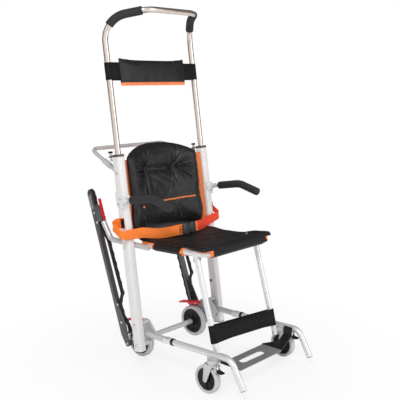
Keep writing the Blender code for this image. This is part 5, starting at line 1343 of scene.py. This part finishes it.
class CHAIR_OT_seat(bpy.types.Operator):
    """Seat tube with its leg clevises, and the padded cover with orange bindings"""

    bl_idname = "chair.seat"
    bl_label = "Seat"

    half, depth, rise, radius = 0.166, 0.268, 0.012, 0.011
    # The leg clevises: their middle, the inner face of a cheek, its thickness and the cheek's outer face
    leg_x, ear_gap, ear_wall = 0.162, 0.0103, 3.0 * MM
    ear_face = ear_gap + ear_wall

    def execute(self, context):
        coat = finish("bright aluminium")
        front = SEAT_PIVOT + Vector((0, -self.depth, self.rise))
        side, back = Vector((self.half, 0, 0)), SEAT_PIVOT + Vector((0, 0.011, 0))
        route = rounded_path([back + side, front + side, front - side, back - side], [0.052, 0.052], 16)
        self.route = route
        parts = [tube("hoop", [route], self.radius, coat)]
        run = LEG_TOP - SEAT_PIVOT
        tube_z = SEAT_PIVOT.z + self.rise * -run.y / self.depth
        for sign in (1, -1):
            for low in (self.ear_gap, -self.ear_face):
                parts.append(self.ear(sign * self.leg_x + low, tube_z, coat))
            reach = self.ear_face + 1.0 * MM
            pins = (
                (SEAT_PIVOT, self.half, POST_INNER - GAP - 0.001),
                (LEG_TOP, self.leg_x - reach, self.leg_x + reach),
            )
            for centre, near, far in pins:
                ends = [centre + Vector((sign * near, 0, 0)), centre + Vector((sign * far, 0, 0))]
                parts.append(tube("pin", [ends], 0.0035, coat, rim=0.4 * MM))
        dressed(fused("seat_hoop", parts), "seat", "seat_frame", slot="white_aluminium")
        self.cover()
        return {"FINISHED"}

    def ear(self, x, tube_z, material):
        """One cheek of a leg clevis, rounded below and welded to the tube above."""
        y, z = LEG_TOP.y, LEG_TOP.z
        outline = arc((y, z), 0.008, 180, 360, 14) + arc((y, tube_z), 0.010, 0, 180, 14)
        return plate(x, self.ear_wall, outline, material, 0.5 * MM)

    def round_tube(self, points):
        """How far points are from the seat tube's centre line, and the way there."""
        nearest, away = np.full(len(points), 1.0), np.zeros_like(points)
        for a, b in zip(self.route, self.route[1:]):
            run = np.array(b - a)
            share = np.clip((points - np.array(a)) @ run / (run @ run), 0, 1)
            gap = points - np.array(a) - share[:, None] * run
            far = np.linalg.norm(gap, axis=1)
            closer = far < nearest
            nearest[closer], away[closer] = far[closer], gap[closer]
        return nearest, away

    def off_tube(self, mesh):
        """The cover's points, moved clear of the seat tube."""
        points = coords(mesh)
        nearest, away = self.round_tube(points)
        push = np.maximum(self.radius + 1.6 * MM - nearest, 0) / np.maximum(nearest, 1e-6)
        return points + away * push[:, None]

    def cover(self):
        """Inflated cover, creased over the tube sleeve and bound in orange round its cut-outs."""
        notch = Vector((self.half + 0.045, SEAT_PIVOT.y - self.depth + 0.045))
        cut, bind = 0.092, 6.0 * MM
        along_side, along_front = 22.0 * MM, 16.0 * MM
        rear, inner = SEAT_PIVOT.y - 0.012, self.half - self.radius - 0.008

        def sleeve(points):
            """How far points are outside the seat tube's centre line, in plan and in height."""
            level = SEAT_PIVOT.z + self.rise * (SEAT_PIVOT.y - points[:, 1]) / self.depth
            out = np.maximum(np.abs(points[:, 0]) - self.half, SEAT_PIVOT.y - self.depth - points[:, 1])
            return out, points[:, 2] - level

        def closed(points):
            """The node's points with the tube's bore closed, so that the grid keeps the sleeve's thin wall."""
            nearest, away = self.round_tube(points)
            lining = nearest < self.radius + GAP + 0.5 * MM
            return points - away * np.where(lining, 0.85, 0.0)[:, None]

        def held(points):
            out, up = sleeve(points)
            notched = np.hypot(np.abs(points[:, 0]) - notch.x, points[:, 1] - notch.y) < cut + 4 * MM
            return (np.hypot(out, up) < self.radius + 3 * MM) | notched | (up < -8 * MM)

        mesh = inflated("seat_cushion", 5.0 * MM, held, 4.0 * MM, closed)
        points = coords(mesh)
        out, up = sleeve(points)
        x, y = points[:, 0], points[:, 1]
        outside = fade(out, 0.0, 8 * MM)
        groove = np.exp(-(((up - 4.5 * MM) / (2.0 * MM)) ** 2)) * 3.5 * MM * outside
        sideways = np.abs(x) - self.half > SEAT_PIVOT.y - self.depth - y
        points[:, 0] -= np.where(sideways, np.sign(x) * groove, 0)
        points[:, 1] += np.where(sideways, 0, groove)
        top = fade(up, 6 * MM, 13 * MM)
        seam = np.exp(-(((out + 0.020) / (2.0 * MM)) ** 2)) * 1.5 * MM
        slack = np.sin(x * 46 + 4 * np.sin(y * 27)) * np.sin(y * 58 + 3 * np.sin(x * 21)) * 1.0 * MM
        long_fold = np.exp(-(((y - SEAT_PIVOT.y + 0.085 + 0.25 * x) / (9 * MM)) ** 2)) * 2.2 * MM
        points[:, 2] += top * (slack * (out < -0.02) - seam - long_fold * (np.abs(x) < 0.13))
        ring = np.hypot(np.abs(x) - notch.x, y - notch.y)
        bound = (ring < cut + bind) | ((y > rear - bind) & (np.abs(x) > inner))
        lift = np.where(bound & (np.hypot(out, up) > self.radius + 3.5 * MM), 0.5 * MM, 0.0)
        points[:, 2] += np.sign(up) * lift
        near = 1 - fade(ring, cut, cut + 0.060)
        beside = np.clip((y - notch.y + 0.045) / 0.125, 0, 1)
        points[:, 0] += np.sign(x) * near * along_front * (1 - beside)
        points[:, 1] -= near * along_side * beside
        shifted(mesh, points)
        shifted(mesh, self.off_tube(mesh))
        edging = mesh.attributes.new("edging", "FLOAT", "POINT")
        edging.data.foreach_set("value", 1 - fade(ring, cut + bind - 1.0 * MM, cut + bind + 1.0 * MM))

        def binding(tree, place):
            axes = add(tree, "ShaderNodeSeparateXYZ", {0: place.outputs["Object"]})
            wide = add(tree, "ShaderNodeMath", {0: axes.outputs[0]}, operation="ABSOLUTE").outputs[0]
            near = add(tree, "ShaderNodeAttribute", attribute_name="edging").outputs["Fac"]
            behind = add(tree, "ShaderNodeMath", {0: axes.outputs[1], 1: rear - bind}, operation="GREATER_THAN")
            beside = add(tree, "ShaderNodeMath", {0: wide, 1: inner - bind}, operation="GREATER_THAN")
            both = add(tree, "ShaderNodeMath", {0: behind.outputs[0], 1: beside.outputs[0]}, operation="MULTIPLY")
            edge = add(tree, "ShaderNodeMath", {0: near, 1: both.outputs[0]}, operation="MAXIMUM").outputs[0]
            slope = (0, self.rise / self.depth, 1)
            height = add(
                tree, "ShaderNodeVectorMath", {0: place.outputs["Object"], 1: slope}, operation="DOT_PRODUCT"
            )
            tube_top = SEAT_PIVOT.dot(Vector(slope)) + self.radius + 2.5 * MM
            under = add(
                tree, "ShaderNodeMath", {0: height.outputs["Value"], 1: tube_top}, operation="LESS_THAN"
            )
            return add(tree, "ShaderNodeMath", {0: edge, 1: under.outputs[0]}, operation="MULTIPLY").outputs[0]

        pad = placed("seat_pad", mesh, finish("worn nylon", ("orange binding", binding)), 80)
        dressed(pad, "seat", "seat_cushion", slot="black_nylon")


class CHAIR_OT_legs(bpy.types.Operator):
    """Front legs and the calf strap round them"""

    bl_idname = "chair.legs"
    bl_label = "Legs"

    # Radius of the legs, and how far they pass the lower and the upper pin
    radius, below, above = 0.010, 0.009, 0.0042

    def execute(self, context):
        coat, spacing = finish("bright aluminium"), CHAIR_OT_seat.leg_x
        reach = (LEG_TOP - LEG_FOOT).length
        for side, sign in SIDES:
            ends = on(LEG, [(sign * spacing, 0, -self.below), (sign * spacing, 0, reach + self.above)])
            leg = tube(f"{side}_leg_tube", [ends], self.radius, coat)
            dressed(leg, "legs", f"{side}_leg", slot="white_aluminium")
        low, tall, slant, off = 0.048, 0.062, 0.022, self.radius + GAP + WEBBING / 2
        flat = arc((spacing, 0), off, -90, 90, 14) + arc((-spacing, 0), off, 90, 270, 14)
        flat += [(-spacing + 2 * spacing * i / 24, -off) for i in range(1, 24)]
        slope = slant / (2 * spacing)

        def on_leg(x, y, up):
            """A place on the strap, which slants from one leg to the other."""
            return LEG @ Vector((x, y, low + up - slope * (x + spacing)))

        pull = [max(0.0, 1 - (x / spacing) ** 2) if y <= -off + 1e-6 else 0.0 for x, y in flat]
        route = [on_leg(x, y - 5.0 * MM * p, tall / 2 + 2.0 * MM * p) for (x, y), p in zip(flat, pull)]
        band = strap(
            "calf_band", route, tall, LEG.to_3x3() @ Vector((slope, 0, 1)), finish("black webbing"), closed=True,
            narrow=[1 - 0.16 * p for p in pull],
        )
        dressed(band, "legs", "calf_strap", slot="black_nylon")
        rows, outs, ups = [], [], (5, 18, 31, 44, 57)
        for sign in (1, -1):
            for x in (0.146, 0.138):
                rows.append([on_leg(sign * x, -off - WEBBING / 2, up * MM) for up in ups])
                outs += [LEG.to_3x3() @ Vector((0, -1, 0))] * len(ups)
        dressed(stitches("calf_band_stitches", rows, outs), "legs")
        return {"FINISHED"}


class CHAIR_OT_base(bpy.types.Operator):
    """Base tubes with feet and hinge collars, the footrest and the caster mounts"""

    bl_idname = "chair.base"
    bl_label = "Base"

    radius, run, rise = 0.011, 0.303, 0.0105
    x = POST_INNER - GAP - radius
    # Half the gap between the hinge's cheeks, and their thickness
    hinge_gap, hinge_wall = 4.8 * MM, 5.8 * MM

    def point(self, sign, forward):
        """A place on the centre line of a base tube, a given way ahead of the hinge."""
        share = min(forward, self.run) / self.run
        return Vector((sign * self.x, BASE_PIVOT.y - forward, BASE_PIVOT.z + self.rise * share))

    def execute(self, context):
        coat, black = finish("bright aluminium"), finish("moulded nylon")
        for side, sign in SIDES:
            front = self.point(sign, self.run)
            foot = front + Vector((0, -0.053, -0.092))
            route = rounded_path([self.point(sign, 0.0125), front, foot], [0.040], 16)
            parts = [tube("run", [route], self.radius, coat)]
            for low in (self.hinge_gap, -self.hinge_gap - self.hinge_wall):
                parts.append(self.cheek(sign * self.x + low, coat))
            ends = [BASE_PIVOT + Vector((sign * self.x + s * 0.010, 0, 0)) for s in (-1, 1)]
            parts.append(tube("pin", [ends], 0.0035, coat, rim=0.4 * MM))
            dressed(fused(f"{side}_base_run", parts), "base", f"{side}_base_tube", slot="white_aluminium")
            self.collar(side, sign, black)
            self.foot(side, route, black)
            refined(f"{side}_caster_mount", finish("anodised aluminium"), 0.8 * MM)
        self.footrest()
        return {"FINISHED"}

    def cheek(self, x, material):
        """One cheek of the hinge that holds the stub's tongue."""
        y, z = BASE_PIVOT.y, BASE_PIVOT.z
        near = self.point(1, 0.0245)
        outline = arc((y, z), 0.0104, -90, 90, 16) + arc((near.y, near.z), 0.0077, 90, 270, 10)
        return plate(x, self.hinge_wall, outline, material)

    def collar(self, side, sign, material):
        """Black clip on the tube just ahead of the hinge."""
        ends = [self.point(sign, f) for f in (0.0290, 0.0395)]
        spot = facing(ends[0], (ends[-1] - ends[0]).normalized())
        inner, reach = self.radius + 0.1 * MM, (ends[-1] - ends[0]).length
        profile = [
            (0.0, inner), (0.0, inner + 1.4 * MM), (0.6 * MM, inner + 2.0 * MM), (reach - 0.6 * MM, inner + 2.0 * MM),
            (reach, inner + 1.4 * MM), (reach, inner),
        ]
        clip = turned(f"{side}_hinge_clip", profile, spot, material, segments=36, axis="Z")
        dressed(clip, "base", slot="black_plastic")

    def foot(self, side, route, material):
        """Black plug in the open end of a foot."""
        spot = facing(route[-1], (route[-1] - route[-2]).normalized())
        lip = self.radius - 0.6 * MM
        profile = [
            (0.05 * MM, 0.0), (0.05 * MM, lip), (1.0 * MM, lip), (1.8 * MM, lip - 1.0 * MM), (2.2 * MM, lip * 0.5),
            (2.2 * MM, 0.0),
        ]
        plug = turned(f"{side}_foot_plug", profile, spot, material, segments=32, axis="Z")
        dressed(plug, "base", slot="black_plastic")

    def footrest(self):
        """Folded sheet tray whose flanges are painted dark as shade, with a rolled rim in its hand slot."""

        def flanges(tree, place):
            axes = add(tree, "ShaderNodeSeparateXYZ", {0: place.outputs["Object"]})
            wide = add(tree, "ShaderNodeMath", {0: axes.outputs[0]}, operation="ABSOLUTE")
            return add(
                tree, "ShaderNodeMath", {0: wide.outputs[0], 1: 0.1175}, operation="GREATER_THAN"
            ).outputs[0]

        # The flanges take the track's dark colour: painted shade.
        refined("footrest", finish("coated sheet", ("painted shade on flanges", flanges), "track"), 0.7 * MM)
        low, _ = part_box("footrest")
        middle = BASE_PIVOT.y - 0.2375
        flat = arc((0.050, middle), 0.0148, -90, 90, 20) + arc((-0.050, middle), 0.0148, 90, 270, 20)
        route = [Vector((x, y, low.z + 2.4 * MM)) for x, y in flat]
        rim = tube("footrest_rim", [route], 1.5 * MM, finish("coated sheet"), closed=True)
        dressed(rim, "base", slot="grey_sheet")


def wheel(side, kind, centre, sizes, body, ribs):
    """Hub and tyre of one wheel: a dished moulded hub with ribs, and a rounded tyre."""
    radius, width, tyre, hub_length, bore = sizes
    rim, face = radius - tyre, width * 0.36
    half = [
        (hub_length / 2, bore), (hub_length / 2, rim * 0.22), (hub_length / 2 - 0.6 * MM, rim * 0.26),
        (face * 0.45, rim * 0.32), (face * 0.45, rim * 0.70), (face * 0.90, rim * 0.82), (face, rim * 0.85),
        (face, rim - GAP),
    ]
    black = finish("moulded nylon")
    parts = [turned("disc", mirrored(half), centre, black)]
    for i in range(ribs):
        turn = Matrix.Rotation(2 * math.pi * i / ribs, 4, "X")
        for sign in (1, -1):
            inner, outer = face * 0.40, face * 0.74
            bm = block((outer - inner, 2.2 * MM, rim * 0.46), 0.4 * MM)
            bmesh.ops.translate(bm, verts=bm.verts, vec=(sign * (inner + outer) / 2, 0, rim * 0.53))
            bm.transform(Matrix.Translation(centre) @ turn)
            parts.append(placed("rib", from_bmesh(bm), black))
    dressed(fused(f"{side}_{kind}_disc", parts, 32), body, f"{side}_{kind}_hub", slot="black_plastic")
    # Shares of the half width, and radii
    bulge = [
        (0.80, rim), (0.93, rim + tyre * 0.10), (0.99, rim + tyre * 0.30), (0.99, rim + tyre * 0.52),
        (0.93, radius - tyre * 0.22), (0.80, radius - tyre * 0.09), (0.60, radius - tyre * 0.02), (0.42, radius),
    ]
    band = mirrored([(width / 2 * a, r) for a, r in bulge])
    rubber = turned(f"{side}_{kind}_tread", band, centre, finish("grey rubber"), angle=50)
    dressed(rubber, body, f"{side}_{kind}_tyre", slot="grey_tyre")


class CHAIR_OT_casters(bpy.types.Operator):
    """Swivel casters: pressed forks, wheels and brake levers"""

    bl_idname = "chair.casters"
    bl_label = "Casters"

    # Width of a wheel, and its gap to a fork cheek and the cheek's thickness
    width, gap, cheek = 0.024, 0.0025, 0.0025

    def execute(self, context):
        for side, _ in SIDES:
            refined(f"{side}_caster_fork", finish("zinc plate"), 0.5 * MM)
            refined(f"{side}_caster_brake", finish("moulded nylon"), 0.8 * MM)
            centre = Vector(JOINTS[f"{side}_caster_spin"]["pos_m"])
            wheel(side, "caster", centre, (0.050, self.width, 0.011, 0.0284, 0.0043), f"{side}_caster_wheel", 6)
            reach = self.width / 2 + self.gap + self.cheek
            spots = [(centre + Vector((s * reach, 0, 0)), (s, 0, 0)) for s in (1, -1)]
            bolts(f"{side}_caster_nuts", f"{side}_caster", spots)
        return {"FINISHED"}


class CHAIR_OT_rear_wheels(bpy.types.Operator):
    """Rear axle, rear wheels and the red brake pedals over them"""

    bl_idname = "chair.rear_wheels"
    bl_label = "Rear wheels"

    # Middle of a wheel and its hub's length; then the gap to the axle plate, the plate and the axle's end past it
    spacing, hub = 0.147, 0.033
    gap, wall, nose = 0.0035, 0.005, 0.003
    # Size of a pedal's treads, how many there are and their step
    tread, treads, step = (2.0 * MM, 21.0 * MM, 1.4 * MM), 7, 0.006

    def execute(self, context):
        centre = Vector(JOINTS["left_wheel_spin"]["pos_m"])
        shoulder = self.spacing - self.hub / 2 - GAP
        end = self.spacing + self.hub / 2 + self.gap + self.wall + self.nose
        half = [
            (end, 0.0), (end, 0.0052), (end - 0.8 * MM, 0.006), (shoulder, 0.006), (shoulder, 0.0094),
            (shoulder - 0.6 * MM, 0.010),
        ]
        grey = finish("anodised aluminium")
        bar = turned("axle_bar", mirrored(half), (0, centre.y, centre.z), grey, segments=40)
        dressed(bar, "frame", "rear_axle", slot="grey_tube")
        for side, sign in SIDES:
            spot = Vector((sign * self.spacing, centre.y, centre.z))
            wheel(side, "rear", spot, (0.0625, 0.024, 0.0125, self.hub, 0.0063), f"{side}_rear_wheel", 6)
            refined(f"{side}_brake_pedal", finish("red ABS"), 1.0 * MM)
            self.pedal_ribs(side, sign)
        return {"FINISHED"}

    def pedal_ribs(self, side, sign):
        """Raised treads across the tail of a brake pedal."""
        red = finish("red ABS")
        pivot = Vector(JOINTS[f"{side}_brake_press"]["pos_m"])
        slope = math.atan2(0.012 + 0.0065, 0.092)
        item = linked("rib_item", from_bmesh(block(self.tread, 0.5 * MM)))
        ahead = Vector((0, math.cos(slope), -math.sin(slope)))
        out = Vector((0, math.sin(slope), math.cos(slope)))
        start = Vector((sign * self.spacing, pivot.y, pivot.z)) + out * 6.6 * MM + ahead * 0.048
        route = [start + ahead * self.step * i for i in range(self.treads)]
        mesh = repeated(items_tree(), item, [route], [out] * self.treads, red, Pitch=0.0072)
        dressed(placed(f"{side}_pedal_ribs", mesh, red), f"{side}_pedal", slot="red_plastic")


class CHAIR_OT_tracks(bpy.types.Operator):
    """Stair tracks: rails, lugged belts and red latch levers"""

    bl_idname = "chair.tracks"
    bl_label = "Tracks"

    length, bottom, depth = 0.602, 0.036, 0.027
    thickness, lug, lugs = 4.5 * MM, 2.2 * MM, 30
    outer, cheek = POST_INNER - GAP, 0.0045
    inner = outer - 0.0215

    def loop(self, inset):
        """The belt's centre line in (forward, up), drawn in by an inset."""
        low, high, bow, bump, bump_up, bow_top = self.bottom, self.length, 0.049, 0.055, 0.189, 0.400
        deep, waist, flare = self.depth, 0.027, 0.048
        corners = [
            (inset, low + inset), (inset, high - inset), (deep - inset, high - inset), (deep - inset, bow_top + 0.040),
            (bow - inset, bow_top), (bump - inset, bump_up), (waist - inset, bump_up - 0.036),
            (waist + 0.002 - inset, low + 0.070), (flare - inset, low + 0.030), (flare - 0.002 - inset, low + inset),
        ]
        turn = deep / 2 - inset
        radii = [turn, turn, turn, 0.05, 0.06, 0.012 - inset * 0.8, 0.022, 0.03, 0.012, turn]
        points = [Vector((0, -v, w)) for v, w in corners]
        return rounded_path([points[-1]] + points + points[:1], radii, 10)[1:-1]

    def execute(self, context):
        for side, sign in SIDES:
            refined(f"{side}_track_rail", finish("black anodised rail"), 0.5 * MM)
            refined(f"{side}_latch_lever", finish("red ABS"), 0.8 * MM)
            self.belt(side, sign)
            # Two thin ribs along the rail's outer cheek, for its two lengthwise lines; their light grey on the dark
            # rail is a painted highlight.
            face = sign * (self.outer - 0.3 * MM)
            ribs = [on(TRACK, [(face, -v, 0.526), (face, -v, 0.582)]) for v in (0.009, 0.017)]
            trim = tube(f"{side}_rail_ribs", ribs, 1.0 * MM, finish("anodised aluminium"), rim=0.4 * MM)
            dressed(trim, f"{side}_track", slot="silver_zinc")
        return {"FINISHED"}

    def belt(self, side, sign):
        """A closed belt with rounded edges, and its lugs at even steps along it."""
        rubber = finish("track rubber")
        middle = (self.inner + self.outer - self.cheek - GAP) / 2
        width = self.outer - self.cheek - GAP - self.inner
        line = [Vector((sign * middle, p.y, p.z)) for p in self.loop(self.thickness / 2)]
        band = strap(
            "band", on(TRACK, line), width, Vector((1, 0, 0)), rubber, closed=True, thickness=self.thickness
        )
        count = len(line)
        outs = []
        for i in range(count):
            ahead = (line[(i + 1) % count] - line[i - 1]).normalized()
            outs.append(TRACK.to_3x3() @ Vector((0, ahead.z, -ahead.y)))
        total = path_length(line + line[:1])
        middle_point = sum(line, Vector()) / count
        spread = [(TRACK.to_3x3() @ (p - middle_point)).dot(o) for p, o in zip(line, outs)]
        # The lugs stand on the outer side, whichever way round the line runs
        if sum(spread) < 0:
            outs = [-o for o in outs]
        pitch = total / self.lugs
        bm = block((pitch * 0.46, width - 1.0 * MM, self.lug + 1.0 * MM), 0.5 * MM, (0.72, 0.96))
        bmesh.ops.translate(bm, verts=bm.verts, vec=(0, 0, self.thickness / 2 + self.lug / 2 - 0.5 * MM))
        item = linked("lug_item", from_bmesh(bm))
        mesh = repeated(items_tree(), item, [on(TRACK, line)], outs, rubber, closed=True, Pitch=pitch)
        lugs = placed("lugs", mesh, rubber)
        dressed(fused(f"{side}_track_loop", [band, lugs], 40), f"{side}_track", f"{side}_track_belt", slot="black_foam")


class CHAIR_OT_fasteners(bpy.types.Operator):
    """Bolts on the frame, seat and base"""

    bl_idname = "chair.fasteners"
    bl_label = "Fasteners"

    # Thickness of an arm bracket, and the way from a leg's middle to the end of its foot pin
    bracket, pin_end = 3.8 * MM, 0.0113
    # Bolts on a post's outer face, in the posts' frame: back, up and how far they stand off the post
    on_post = (
        (0.0, CHAIR_OT_bail.pivot_up, 0.0), (-0.004, 0.624, bracket), (0.006, 0.606, bracket), (0.0, 0.447, 0.0),
        (0.0, 0.160, 0.0), (0.0, 0.084, 0.0),
    )

    def execute(self, context):
        frame_spots, plug_spots, seat_spots, leg_spots = [], [], [], []
        leg_x, ear = CHAIR_OT_seat.leg_x, CHAIR_OT_seat.ear_face
        for sign in (1, -1):
            out = Vector((sign, 0, 0))
            for y, up, proud in self.on_post:
                frame_spots.append((POST @ Vector((sign * (POST_OUTER + proud), y, up)), out))
            seat_spots += [(LEG_TOP + out * (leg_x + ear), out), (LEG_TOP + out * (leg_x - ear), -out)]
            leg_spots.append((LEG_FOOT + out * (leg_x - self.pin_end), -out))
            for y, up in ((0.012, 0.232), (0.0165, 0.147), (0.0075, 0.124)):
                plug_spots.append((POST @ Vector((sign * POST_INNER, y * 0.6, up)), -out))
        bolts("frame_bolts", "frame", frame_spots)
        bolts("post_plugs", "frame", plug_spots, "moulded nylon", "black_plastic")
        for side, sign in SIDES:
            face = sign * CHAIR_OT_tracks.outer
            places = ((0.016, 0.512), (0.020, 0.473), (0.024, 0.152), (0.022, 0.083))
            rivets = [(TRACK @ Vector((face, -v, w)), (sign, 0, 0)) for v, w in places]
            bolts(f"{side}_track_rivets", f"{side}_track", rivets)
        bolts("seat_bolts", "seat", seat_spots)
        bolts("leg_bolts", "base", leg_spots)
        return {"FINISHED"}


class CHAIR_PT_panel(bpy.types.Panel):
    """Lists the chair's settings and operators"""

    bl_idname = "CHAIR_PT_panel"
    bl_label = "Evacuation chair"
    bl_space_type = "VIEW_3D"
    bl_region_type = "UI"
    bl_category = "Chair"

    def draw(self, context):
        for group in (context.scene.chair_sizes, context.scene.chair_colours):
            box = self.layout.box()
            for key in group.__annotations__:
                box.prop(group, key)
        for operator in OPERATORS:
            self.layout.operator(operator.bl_idname)


OPERATORS = (
    CHAIR_OT_stage, CHAIR_OT_frame, CHAIR_OT_handle, CHAIR_OT_bail, CHAIR_OT_arms, CHAIR_OT_back, CHAIR_OT_lap_belt,
    CHAIR_OT_seat, CHAIR_OT_legs, CHAIR_OT_base, CHAIR_OT_casters, CHAIR_OT_rear_wheels, CHAIR_OT_tracks,
    CHAIR_OT_fasteners,
)
CLASSES = (ChairColours, ChairSizes, *OPERATORS, CHAIR_PT_panel)


def register():
    """Registers the classes and hangs the settings on the scene."""
    for cls in CLASSES:
        bpy.utils.register_class(cls)
    bpy.types.Scene.chair_colours = bpy.props.PointerProperty(type=ChairColours)
    bpy.types.Scene.chair_sizes = bpy.props.PointerProperty(type=ChairSizes)


def unregister():
    """Takes back what register() did."""
    del bpy.types.Scene.chair_sizes
    del bpy.types.Scene.chair_colours
    for cls in reversed(CLASSES):
        bpy.utils.unregister_class(cls)


def main():
    """Makes the whole chair."""
    register()
    for operator in OPERATORS:
        group, name = operator.bl_idname.split(".")
        getattr(getattr(bpy.ops, group), name)()


if __name__ == "__main__":
    main()
